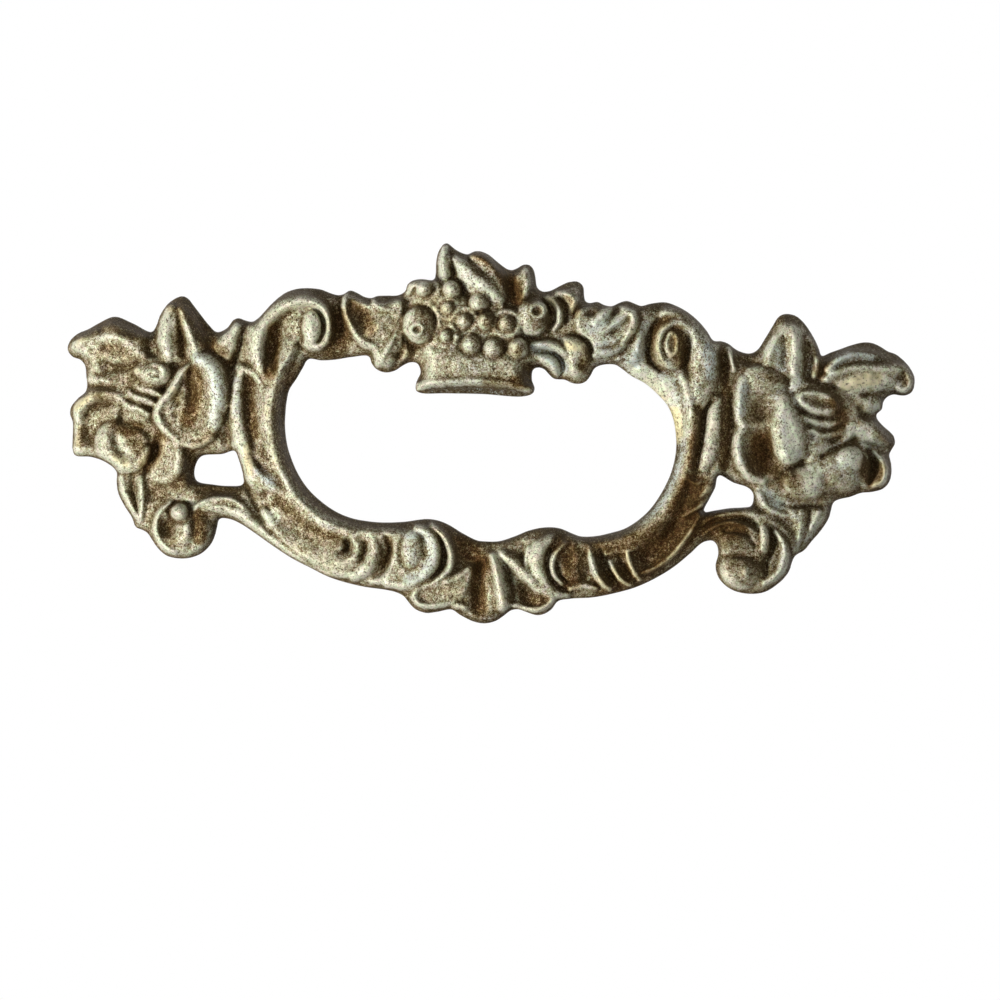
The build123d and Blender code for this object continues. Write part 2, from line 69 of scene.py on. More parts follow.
# Outline of the blank, clockwise from the leaf at the left end, and its three openings
SILHOUETTE = (
    (-53.9, 1.6), (-54.1, 3), (-54.3, 4.2), (-55, 5), (-56, 5.3), (-56.8, 6.3), (-56.5, 7.5), (-55.5, 8.5),
    (-54, 9.2), (-52.7, 10), (-50.5, 11), (-48, 10.2), (-45.3, 9.1), (-44.7, 10), (-44.2, 11.5),
    (-43.2, 13), (-42, 13.9), (-41.2, 14.1), (-40.5, 13.8), (-39.8, 13), (-38.8, 11.8), (-37.5, 10.3),
    (-36.4, 9.4), (-35, 10), (-34.2, 11.1), (-33.5, 11.4), (-32.5, 11.1), (-31.5, 11), (-30.5, 11.8),
    (-29.5, 13), (-28, 14.5), (-27, 15.2), (-25.5, 15.7), (-24, 15.8), (-22.5, 15.7), (-21, 15.2),
    (-20, 15), (-19.3, 15.2), (-18.5, 15.7), (-17.5, 15.4), (-16.5, 14.9), (-15.5, 14.8), (-14.8, 15.1),
    (-13.5, 15.2), (-12, 15.3), (-11, 15.9), (-10.8, 16.7), (-10.2, 17.3), (-9, 17.6), (-7.2, 17.6),
    (-7, 18.5), (-7, 20), (-6.7, 21.5), (-6, 22.5), (-5.6, 22.6), (-5, 22.2), (-4.3, 21.7), (-2.8, 21.2),
    (-2, 21.6), (-1.2, 21.7), (0, 21.3), (1.2, 20.4), (2.5, 19.5), (3.2, 19.3), (4, 19.6), (4.8, 20.1),
    (5.6, 20.1), (6.2, 19.5), (6.5, 18.5), (6.8, 17.1), (7.5, 16.6), (8.5, 16.7), (9.8, 17.4), (11, 18),
    (12.3, 18.1), (13, 17.5), (13.2, 16.2), (13.4, 15.5), (14, 15.3), (15, 15.5), (16, 15.1), (17, 15),
    (18, 15.5), (19, 15.8), (20, 15.5), (21, 15.2), (22, 15.5), (23.5, 15.8), (24.5, 15.8), (26, 15.3),
    (27.5, 14.5), (29, 13.3), (30, 12.2), (31, 10.9), (32, 10.9), (33, 10.6), (34, 9.9), (35, 9.5),
    (36, 9.4), (37, 9.9), (38, 11.5), (39, 13.3), (39.7, 14.5), (40.3, 14.9), (41, 15), (42, 14.8),
    (43, 14.1), (44, 12.9), (45, 11.3), (45.5, 10.2), (45.8, 9.5), (47, 10), (48, 10.4), (50, 11.2),
    (51.5, 11.6), (52.5, 11.6), (53.5, 11.3), (55, 10.5), (56, 10.2), (57, 9.5), (58, 8.5), (58.7, 7.3),
    (58.8, 6.3), (58.5, 5.2), (57.8, 4.7), (57, 4.6), (56, 4.7), (55.2, 4.4), (54.6, 3.7), (54.4, 2.6),
    (53.7, 1.9), (53.8, 1.3), (54.5, 0.5), (55.5, -0.3), (56.2, -1), (56.4, -2), (56, -2.8),
    (55.7, -3.5), (56, -4.8), (56.1, -6), (55.8, -7.3), (55, -8.2), (53.5, -8.7), (52, -8.9),
    (50.5, -9.5), (49, -9.9), (48.3, -10.3), (47.7, -12.5), (46.7, -14.2), (45.5, -15.7), (44.5, -17),
    (43.3, -17.8), (42.9, -18.7), (42.6, -19.8), (41.8, -21), (39.5, -22.8), (37.3, -23.2), (35, -22.8),
    (33.5, -21.8), (32.8, -20.8), (32.5, -19.5), (32.8, -18), (32.6, -16.8), (32, -16.2), (31, -16.3),
    (30.3, -16.7), (29, -18), (27, -19.8), (25, -21.2), (22, -22.8), (19, -23.8), (16, -24.5),
    (13, -24.8), (11.3, -25.2), (10.5, -26.3), (9.5, -27), (8.5, -27.2), (7, -26.8), (6, -26.5),
    (5, -26.7), (4, -27.5), (3, -28.2), (1.5, -28.6), (0, -28.4), (-1, -28), (-2, -27.5), (-3, -26.9),
    (-5, -27.3), (-6.5, -27.5), (-8, -27), (-9, -26), (-9.5, -25.4), (-10.5, -24.9), (-12, -24.6),
    (-15, -24.3), (-18, -23.7), (-20, -23.1), (-22, -22.2), (-25, -20.8), (-28, -19), (-30, -17.7),
    (-32, -16.5), (-33.5, -15.9), (-35, -15.9), (-35.3, -17), (-35.5, -18), (-36, -19.3), (-37.3, -20.7),
    (-39, -21.4), (-40.5, -21.5), (-42, -21.2), (-43.2, -20.3), (-44.2, -19), (-44.8, -18.2),
    (-45.6, -17.8), (-46.4, -17.5), (-47, -16.2), (-48, -14.8), (-49, -13), (-49.3, -11.5),
    (-49.4, -10), (-51, -8.8), (-53, -8.2), (-55.1, -8.1), (-55.5, -7.5), (-55.6, -6), (-55.7, -3.5),
    (-56.1, -2.5), (-56, -1.5), (-55, -0.2), (-54.1, 0.6),
)
HAND_OPENING = (
    (-23.8, 6.2), (-22, 6.1), (-20, 6.3), (-18, 6.7), (-15.6, 6.9), (-15.2, 6), (-14.5, 5.2),
    (-13.3, 4.8), (-12, 5.1), (-11, 5.8), (-10, 6.3), (-9, 6.2), (-8.5, 5), (-8.9, 4), (-9.1, 3.2),
    (-9, 2.5), (-8.3, 2.2), (-5, 2.3), (0, 2.4), (5.5, 2.3), (6.8, 2.8), (7, 3.5), (6.6, 4.5),
    (6.7, 6), (7.4, 6.3), (8.2, 6.1), (8.7, 5.6), (9.5, 4.9), (10.2, 4.8), (11, 4.8), (12, 4.4), (12.8, 4.3),
    (13.8, 4.6), (14.5, 5.5), (15, 6.5), (16, 7), (17.8, 7.1), (18.7, 6.6), (20, 5.7), (22, 4.7),
    (23.5, 3.5), (25, 2), (25.8, 0.5), (26.3, -1.5), (26.5, -4), (26, -7), (25, -9.5), (23.5, -12),
    (22, -13.6), (20, -15), (18, -15.7), (16, -16.2), (14, -16.3), (13, -16), (11, -15.3), (9, -15.3),
    (7, -15.8), (5, -16.7), (3, -17.4), (1, -17.5), (0, -17.4), (-2, -16.5), (-4, -15.4),
    (-5.5, -14.9), (-7, -14.8), (-10, -15.3), (-13, -15.5), (-15, -15.4), (-17, -15.1), (-19, -14.4),
    (-21, -13.2), (-23, -11.5), (-24.5, -9.5), (-25.5, -7.5), (-26.2, -5.5), (-26.6, -3), (-26.6, -1),
    (-26.5, 0.5), (-26.2, 2), (-25.3, 3.5), (-24.5, 5),
)
LEFT_WINDOW = (
    (-33.3, -6.6), (-35, -7.1), (-37.8, -7.5), (-38.5, -8.5), (-38.7, -10), (-38.3, -10.9),
    (-36, -11.3), (-34, -11.4), (-32, -11.1), (-32, -10), (-32.8, -7.5),
)
RIGHT_WINDOW = (
    (32.4, -7.3), (34.5, -8.2), (36.5, -8.8), (37.2, -9.5), (37.3, -10.5), (37, -11.3), (36, -11.5),
    (34, -11.7), (32, -12.1), (30.6, -12.3), (31.3, -10.5), (32, -9),
)


# Lines and outlines

def smooth_line(points, closed=False, step=0.3):
    """Points close together on a smooth curve through the drawn points."""
    drawn = np.array(points, float)
    if closed:
        ends = (drawn[-1:], drawn[:2])
    else:
        ends = (2 * drawn[:1] - drawn[1:2], 2 * drawn[-1:] - drawn[-2:-1])
    drawn = np.vstack((ends[0], drawn, ends[1]))
    knots = np.concatenate(([0], np.cumsum(np.sqrt(np.hypot(*np.diff(drawn, axis=0).T)))))
    stretches = []
    for k in range(1, len(drawn) - 2):
        a, b, c, d = drawn[k - 1:k + 3]
        ta, tb, tc, td = knots[k - 1:k + 3]
        count = max(1, ceil(np.hypot(*(c - b)) / step))
        u = (np.arange(count) / count)[:, None]
        leave = (tc - tb) * ((b - a) / (tb - ta) - (c - a) / (tc - ta)) + (c - b)
        arrive = (tc - tb) * ((d - c) / (td - tc) - (d - b) / (td - tb)) + (c - b)
        curve = b * (1 + 2 * u) * (1 - u)**2 + leave * u * (1 - u)**2
        stretches.append(curve + c * u**2 * (3 - 2 * u) + arrive * u**2 * (u - 1))
    return np.vstack(stretches + [drawn[-2:-1]])


def oval(centre, radii, turn=0.0, count=24):
    """Closed line round an oval, turned by an angle in degrees."""
    angles = np.arange(count + 1) * 2 * pi / count
    along, across = radii[0] * np.cos(angles), radii[1] * np.sin(angles)
    c, s = cos(radians(turn)), sin(radians(turn))
    return np.column_stack((centre[0] + along * c - across * s, centre[1] + along * s + across * c))


def nearest_on(places, line):
    """Distance from each place to a line, the share of the line passed there, and the side it lies on."""
    start, step = line[:-1], np.diff(line, axis=0)
    offset = places[:, None, :] - start[None]
    passed = np.clip((offset * step).sum(2) / (step * step).sum(1), 0, 1)
    apart = offset - passed[..., None] * step
    squared = (apart * apart).sum(2)
    best = squared.argmin(1)
    rows = np.arange(len(places))
    side = step[best, 0] * offset[rows, best, 1] - step[best, 1] * offset[rows, best, 0]
    lengths = np.concatenate(([0], np.cumsum(np.hypot(*step.T))))
    share = (lengths[best] + passed[rows, best] * np.diff(lengths)[best]) / lengths[-1]
    return np.sqrt(squared[rows, best]), share, np.sign(side)


def inside(places, outline):
    """Whether each place lies inside a closed line."""
    x, z = places[:, 0][:, None], places[:, 1][:, None]
    (x0, z0), (x1, z1) = outline[:-1].T, outline[1:].T
    rise = np.where(z1 == z0, 1e-9, z1 - z0)
    crosses = ((z0 > z) != (z1 > z)) & (x < (x1 - x0) * (z - z0) / rise + x0)
    return crosses.sum(1) % 2 == 1


def along_line(values, share):
    """Value at each share of a line, from one number or from numbers spread evenly along it."""
    values = np.atleast_1d(np.array(values, float))
    return np.interp(share, np.linspace(0, 1, len(values)), values)


def ease(u):
    """Smooth step from 0 to 1."""
    u = np.clip(u, 0, 1)
    return u * u * (3 - 2 * u)


class Relief:
    """Carving, staining and painted light and shade at a set of places on the front view, in millimetres above
    the back.
    """

    def __init__(self, places, marks):
        self.places = places
        self.heights, self.edge_width, self.edge_height, self.light, self.warm = marks

    def near(self, line, reach):
        """Places within reach of a line's box."""
        low, high = line.min(0) - reach, line.max(0) + reach
        return np.flatnonzero(((self.places > low) & (self.places < high)).all(1))

    def meet(self, chosen, heights, blend):
        """Raise the places to the new heights, with a soft join where old and new meet."""
        old = self.heights[chosen]
        overlap = np.clip(blend - np.abs(old - heights), 0, None)
        self.heights[chosen] = np.maximum(old, heights) + overlap * overlap / (4 * blend)

    def ridge(self, points, half_width, top, foot, crest=2.0, flank=0.8, lean=0.0):
        """Raised stroke. Its crest is flatter and its flanks steeper as crest grows and flank shrinks."""
        line = smooth_line(points)
        chosen = self.near(line, np.max(half_width) * (1 + abs(lean)))
        distance, share, side = nearest_on(self.places[chosen], line)
        across = distance / (along_line(half_width, share) * (1 + lean * side))
        chosen, share, across = (a[across < 1] for a in (chosen, share, across))
        body = (1 - across**crest) ** flank
        foot = along_line(foot, share)
        self.meet(chosen, foot + (along_line(top, share) - foot) * body, 0.5)

    def fold(self, points, half_width, top, foot, lean=0.0):
        """Raised stroke with a soft round section, as on the folds of petals and leaves."""
        self.ridge(points, half_width, top, foot, 2, 1, lean)

    def groove(self, points, half_width, depth):
        """Cut a rounded groove."""
        line = smooth_line(points)
        chosen = self.near(line, np.max(half_width))
        distance, share, _ = nearest_on(self.places[chosen], line)
        across = distance / along_line(half_width, share)
        chosen, share, across = (a[across < 1] for a in (chosen, share, across))
        self.heights[chosen] -= along_line(depth, share) * (1 - across**2.0) ** 1.7

    def in_oval(self, centre, radii, turn):
        """Places inside an oval and how far out each is, from 0 at its centre to 1 at its edge."""
        chosen = self.near(oval(centre, radii, turn), 0)
        offset = self.places[chosen] - np.array(centre)
        c, s = cos(radians(turn)), sin(radians(turn))
        along, across = offset[:, 0] * c + offset[:, 1] * s, offset[:, 1] * c - offset[:, 0] * s
        out = np.hypot(along / radii[0], across / radii[1])
        return chosen[out < 1], out[out < 1]

    def dome(self, centre, radii, top, foot, turn=0.0, fullness=0.5):
        """Rounded boss or fruit."""
        chosen, out = self.in_oval(centre, radii, turn)
        self.meet(chosen, foot + (top - foot) * (1 - out * out) ** fullness, 0.3)

    def swell(self, centre, radii, amount, turn=0.0):
        """Raise or, with a negative amount, sink the surface softly inside an oval."""
        chosen, out = self.in_oval(centre, radii, turn)
        self.heights[chosen] += amount * (1 - out * out) ** 2

    def ring(self, centre, radii, half_width, top, foot, turn=0.0):
        """Raised ring round an oval."""
        line = oval(centre, radii, turn)
        self.ridge(line[:-1:2].tolist() + [line[0].tolist()], half_width, top, foot)

    def sheet(self, outline, rim, middle, fall, slope, lip, cover):
        """Petal or leaf that covers what lies below it, from its rim to its raised or hollow middle.

        Its surface reaches the middle height at the width fall from its rim, and tilts by the slope.
        The lip is how far it's rounded off at the rim, and cover how wide it fades into what's below.
        """
        line = smooth_line(list(outline), closed=True)
        chosen = self.near(line, 0)
        chosen = chosen[inside(self.places[chosen], line)]
        depth, _, _ = nearest_on(self.places[chosen], line)
        offset = self.places[chosen] - line.mean(0)
        heights = rim + (middle - rim) * ease(depth / fall) + offset @ np.array(slope)
        heights -= lip * (1 - np.clip(depth / 0.5, 0, 1)) ** 2
        mask = ease(depth / cover)
        self.heights[chosen] += (heights - self.heights[chosen]) * mask

    def stain(self, points, reach, light, warm=0.0):
        """Paint a soft stroke, lighter or darker, warmer or cooler than the metal round it, for stains and for
        painted light and shade.
        """
        line = smooth_line(points)
        chosen = self.near(line, np.max(reach))
        distance, share, _ = nearest_on(self.places[chosen], line)
        weight = ease(1.5 * (1 - distance / along_line(reach, share)))
        self.light[chosen] += weight * light
        self.warm[chosen] += weight * warm

    def flank(self, points, reach, width, height=None):
        """Set how wide the pull's edge slopes near a line, and how high it stands at the rim."""
        line = smooth_line(points)
        chosen = self.near(line, reach)
        distance, share, _ = nearest_on(self.places[chosen], line)
        weight = ease(2 * (1 - distance / reach))
        self.edge_width[chosen] += weight * (along_line(width, share) - self.edge_width[chosen])
        if height is not None:
            self.edge_height[chosen] += weight * (along_line(height, share) - self.edge_height[chosen])


# Ornament

def carve_frame(relief):
    """Bars, channels and top volutes of the frame round the hand opening."""
    ridge, fold, groove, swell = relief.ridge, relief.fold, relief.groove, relief.swell
    # Left bar: broad inner band, outer band and the channel between them
    ridge(((-25.8, 7.6), (-27, 5.4), (-27.9, 3.2), (-28.4, 1), (-28.6, -1.5), (-28.3, -4.2), (-27.6, -7),
           (-26.4, -9.8), (-24.6, -12.5), (-22, -14.8), (-19, -16.3), (-15.5, -17), (-10.5, -17)),
          (1.2, 1.8, 2.2, 2.4, 2.4, 2.3, 2, 1.8, 1.6, 1.4), (5.4, 5.9, 6.1, 6.1, 6, 5.9, 5.7, 5.5, 5.4), 4.1,
          1.2, 1, -0.4)
    ridge(((-32.9, 4.1), (-33.2, 2), (-33.3, 0), (-33, -2.5), (-32.5, -5), (-31.7, -7.5), (-30.8, -9.6),
           (-29.7, -11.3)), (0.6, 0.9, 1, 1.1, 1.3, 1.5, 1.4, 0.9), (5, 5.3, 5.4, 5.4, 5.5, 5.5, 5.4, 5.2),
          4.4, 2.4, 1)
    groove(((-31.1, 3.4), (-31.2, 1), (-31.1, -1), (-30.7, -3.5), (-30, -5.6), (-29.2, -7.4)),
           (0.8, 1.4, 1.6, 1.6, 1.4, 0.8), (0.3, 0.5, 0.5, 0.5, 0.4, 0.2))
    # Upper left bar: smooth face, hollow and brown slope, with the tongue below
    ridge(((-29.3, 2.8), (-30, 4.5), (-30.6, 6.5), (-30.6, 8.5), (-30, 10.6), (-28.7, 12.3), (-26.8, 13.5),
           (-24.6, 14)), (0.4, 1.2, 1.6, 1.8, 1.8, 1.7, 1.5, 1.2), (5, 5.7, 6, 6.1, 6.1, 6.1, 6.1), 3.4, 2,
          0.9, 0.2)
    fold(((-33, 4.7), (-32, 4.4), (-31, 3.8), (-30, 2.8), (-29, 2.1)), 0.6, (4.9, 5.1, 5.1, 5, 4.9), 4.4)
    groove(((-30.6, 4.2), (-29.8, 3), (-29.2, 2)), (0.2, 0.3, 0.2), 0.2)
    groove(((-28.2, 4.6), (-28.6, 6.4), (-28.6, 8.2), (-28.2, 9.8), (-27.3, 11)), (0.7, 1.4, 1.7, 1.6, 1),
           (0.4, 0.9, 1.2, 1, 0.4))
    # Left volute
    swell((-24.6, 10.6), (2.6, 3), 1)
    ridge(((-27, 13.6), (-25, 14), (-23.2, 13.8), (-21.8, 12.8), (-21.1, 11.2), (-21.1, 9.6), (-21.8, 8.3),
           (-23, 7.8), (-24.2, 8.2)), (1.2, 1, 0.9, 0.8, 0.75, 0.75, 0.75, 0.7, 0.6),
          (6.1, 6.3, 6.3, 6.2, 6.1, 6, 5.9, 5.7, 5.5), 3.6)
    relief.dome((-23.5, 10.4), (1.3, 2.4), 6.3, 5.3, fullness=0.4)
    groove(((-24.2, 13.1), (-22.9, 12.8), (-22, 11.7), (-21.8, 10.3), (-22.2, 9)),
           (0.3, 0.45, 0.5, 0.45, 0.3), (0.4, 1, 1.1, 0.9, 0.4))
    groove(((-24.4, 12.6), (-24.9, 11), (-24.8, 9.6), (-24.2, 8.8)), (0.3, 0.4, 0.4, 0.3),
           (0.3, 0.5, 0.5, 0.2))
    groove(((-25, 12.6), (-23.8, 12.3), (-23, 11.4), (-22.8, 10)), (0.2, 0.25, 0.25, 0.2),
           (0.2, 0.35, 0.35, 0.2))
    # Lower left bar: rolled leaf tip, mottled hollow, outer band and the line of the arm
    relief.sheet(((-30.8, -7.6), (-29.4, -9), (-28, -9.4), (-27, -10.6), (-26.2, -12.1), (-27.5, -12.6),
                  (-29, -12), (-30.4, -10.4)), 5.2, 5.7, 1.2, (0, 0), 0.3, 0.6)
    groove(((-30.9, -7), (-30, -8.2), (-28.7, -9), (-27.6, -9.4), (-26.8, -10.5), (-26.2, -11.8)), 0.4,
           (0.3, 0.6, 0.7, 0.6, 0.7, 0.4))
    groove(((-27.6, -12.6), (-26.2, -14), (-24.3, -16), (-22.1, -17.5), (-19.9, -18.4), (-17.9, -18.6),
            (-16.4, -18.2)), (0.9, 1.6, 2.1, 2.2, 1.9, 1.2, 0.6), (0.3, 0.4, 0.4, 0.4, 0.4, 0.8, 0.5))
    ridge(((-27.4, -12.8), (-25.8, -15.2), (-23.7, -17.1), (-21.3, -18.4), (-19, -18.9)),
          (1.2, 1.8, 2, 1.8, 1.2), (4.9, 4.95, 4.95, 4.95, 4.9), 4.5, 4, 0.6)
    groove(((-31.5, -10.9), (-29.8, -13.8), (-27.7, -17.2), (-25.6, -19.6), (-23.4, -21.5)), 0.28, 0.5)
    ridge(((-28.8, -14.8), (-27.3, -16.7), (-25.6, -18.4), (-23.6, -19.8), (-21.6, -20.7), (-19.5, -21.2),
           (-17.4, -21.4)), (0.7, 1.2, 1.6, 1.9, 2.1, 2.1, 1.8), (5.2, 5.4, 5.4, 5.4, 5.3, 5.2, 5), 4.5, 2.2,
          1)
    relief.flank(((-24.8, 6.2), (-26.6, 2), (-26.8, -2), (-25.5, -7.5), (-22, -12.6), (-17, -15.2),
                  (-10, -15.4), (-5, -15)), 3.2, (1.3, 1.4, 1.4, 1.35, 1.2, 1.1, 1.2), 2)
    relief.flank(((-31.4, 11), (-29, 14), (-26, 15.8), (-23, 15.8), (-20.6, 15.1)), 2.4,
                 (1.4, 1.7, 1.7, 1.4), 2)
    # Right bar
    ridge(((26.8, 6), (27.7, 3.6), (28.3, 1), (28.5, -1.5), (28.3, -4.4), (27.6, -7.3), (26.5, -10.2),
           (24.8, -12.9), (22.4, -15.1), (19.5, -16.5), (16, -17.2), (13, -17.1)),
          (0.9, 1.3, 1.6, 1.7, 1.7, 1.7, 1.7, 1.6, 1.5), (5.2, 5.6, 5.7, 5.7, 5.6, 5.4, 5.2, 5), 4, 1.8, 1,
          0.2)
    ridge(((31.9, 2.8), (31.6, 1), (31.5, -1), (31.3, -3), (30.8, -5), (30.2, -6.9)),
          (0.8, 1.3, 1.45, 1.45, 1.3, 0.9), (5.2, 5.8, 5.9, 5.9, 5.8, 5.3), 4.2, 2.6, 1)
    fold(((33, 3.5), (32.9, 1), (32.8, -1.5), (32.5, -4), (31.9, -6.5), (31.3, -8.5), (30.5, -10.6)),
         (0.5, 0.8, 0.8, 0.9, 1, 0.9, 0.7), (4.6, 4.9, 5, 5, 5, 4.9, 4.7), 4)
    groove(((30.1, 2), (29.9, 0), (29.8, -2), (29.5, -4), (29.1, -6.4)), (0.4, 0.6, 0.65, 0.6, 0.4),
           (0.8, 1.2, 1.2, 1.1, 0.7))
    # Upper right bar: broad light band that narrows to a tongue
    ridge(((24.5, 14), (26.4, 13.7), (28.2, 12.6), (29.4, 10.8), (29.8, 8.6), (29.8, 6.4), (29.6, 4.2),
           (29.4, 1.9)), (1.2, 1.8, 2.1, 2.2, 2.2, 2.1, 1.7, 0.8), (6, 6.1, 6.2, 6.2, 6.1, 6, 5.8, 5.2), 4.4,
          3, 1)
    groove(((28.7, 2), (29.6, 1.4), (30.6, 2), (31.6, 3), (32.4, 4)), 0.3, (0.4, 0.6, 0.7, 0.7, 0.5))
    # Right volute
    relief.dome((24.9, 10.1), (2.8, 3.7), 5.9, 4.2, 0, 0.35)
    swell((27.3, 9.4), (0.9, 3.4), -1.4, -6)
    groove(((26, 14), (24.2, 13.6), (22.8, 12.2), (22.3, 10), (22.7, 7.8), (24, 6.7), (25.6, 6.6)),
           (0.4, 0.7, 0.8, 0.85, 0.8, 0.6, 0.3), (0.7, 1.6, 1.9, 1.9, 1.6, 1.2, 0.5))
    ridge(((26.5, 12.8), (25.2, 12.9), (24, 12), (23.5, 10.2), (23.8, 8.5), (24.8, 7.5), (26.1, 7.9)),
          (0.4, 0.55, 0.6, 0.6, 0.6, 0.55, 0.4), (5.9, 6.4, 6.5, 6.4, 6.3, 6.1, 5.6), 4.6)
    groove(((26.1, 12), (25, 12), (24.4, 11), (24.3, 9.7), (24.7, 8.6), (25.5, 8.4)), 0.28,
           (0.4, 0.8, 0.9, 0.9, 0.8, 0.4))
    relief.ring((25.3, 10.2), (0.7, 1.5), 0.42, 6.6, 5.2)
    fold(((18.4, 7.6), (20.2, 8), (20.8, 10), (20.9, 12.2)), (0.9, 1.3, 1.1, 0.7), (4.7, 5, 4.9, 4.4), 3.4)
    groove(((19.8, 6.6), (21.2, 7.4), (22.2, 7.6)), 0.25, 0.5)
    # Light planar flank inside the right bar
    relief.flank(((19.5, 6.1), (22, 4.7), (23.5, 3.5), (25, 2), (25.9, 0.3), (26.4, -2), (26.3, -5),
                  (25.4, -8.8), (23.5, -12), (20, -15), (15, -16.3), (9, -15.3)), 3.6,
                 (2.2, 2.7, 2.8, 2.6, 2.2, 1.9, 1.8, 1.7, 1.7, 1.6, 1.4), (2.4, 2.6, 2.6, 2.4, 2.1, 2, 2))
    relief.flank(((21, 15.2), (24, 15.8), (27.5, 14.5), (30.5, 11.6)), 2.4, (1.3, 1.7, 1.8, 1.6), 2)
    # Lower right bar: curl, small leaves and the outer line
    relief.sheet(((28.6, -7), (31, -6.6), (31.9, -8), (31, -10.5), (29.9, -12.4), (28.4, -13.2), (27.6, -12),
                  (27.9, -9.4)), 4.7, 4.9, 1, (0, 0), 0.2, 0.7)
    ridge(((28.5, -7.3), (28.6, -8.2), (29.3, -8.6), (30.1, -8.2)), (0.3, 0.45, 0.45, 0.25), 5.6, 4.2)
    ridge(((31, -9), (30, -10.3), (28.6, -11.2)), (0.5, 0.45, 0.25), (5.5, 5.3, 4.9), 4)
    ridge(((30.2, -11.4), (29, -12.3), (27.6, -13)), (0.4, 0.4, 0.25), (5.4, 5.2, 4.9), 4)
    groove(((31, -9.9), (29.8, -11.1), (28.4, -12)), 0.28, 0.5)
    swell((26.4, -14.6), (1.5, 2.4), -1.2, -35)
    groove(((25.6, -16), (24.4, -17.4), (22.6, -18.6)), (0.8, 1.3, 1.1), (0.5, 0.6, 0.4))
    fold(((30.1, -12.8), (29.3, -14.3), (28.2, -16), (27, -17.7), (25.6, -19.1), (23.6, -20.4),
          (21.4, -21.4)), (0.4, 0.5, 0.6, 0.6, 0.5, 0.4, 0.3), (5.2, 5.5, 5.5, 5.4, 5.2, 5, 4.8), 3.8)


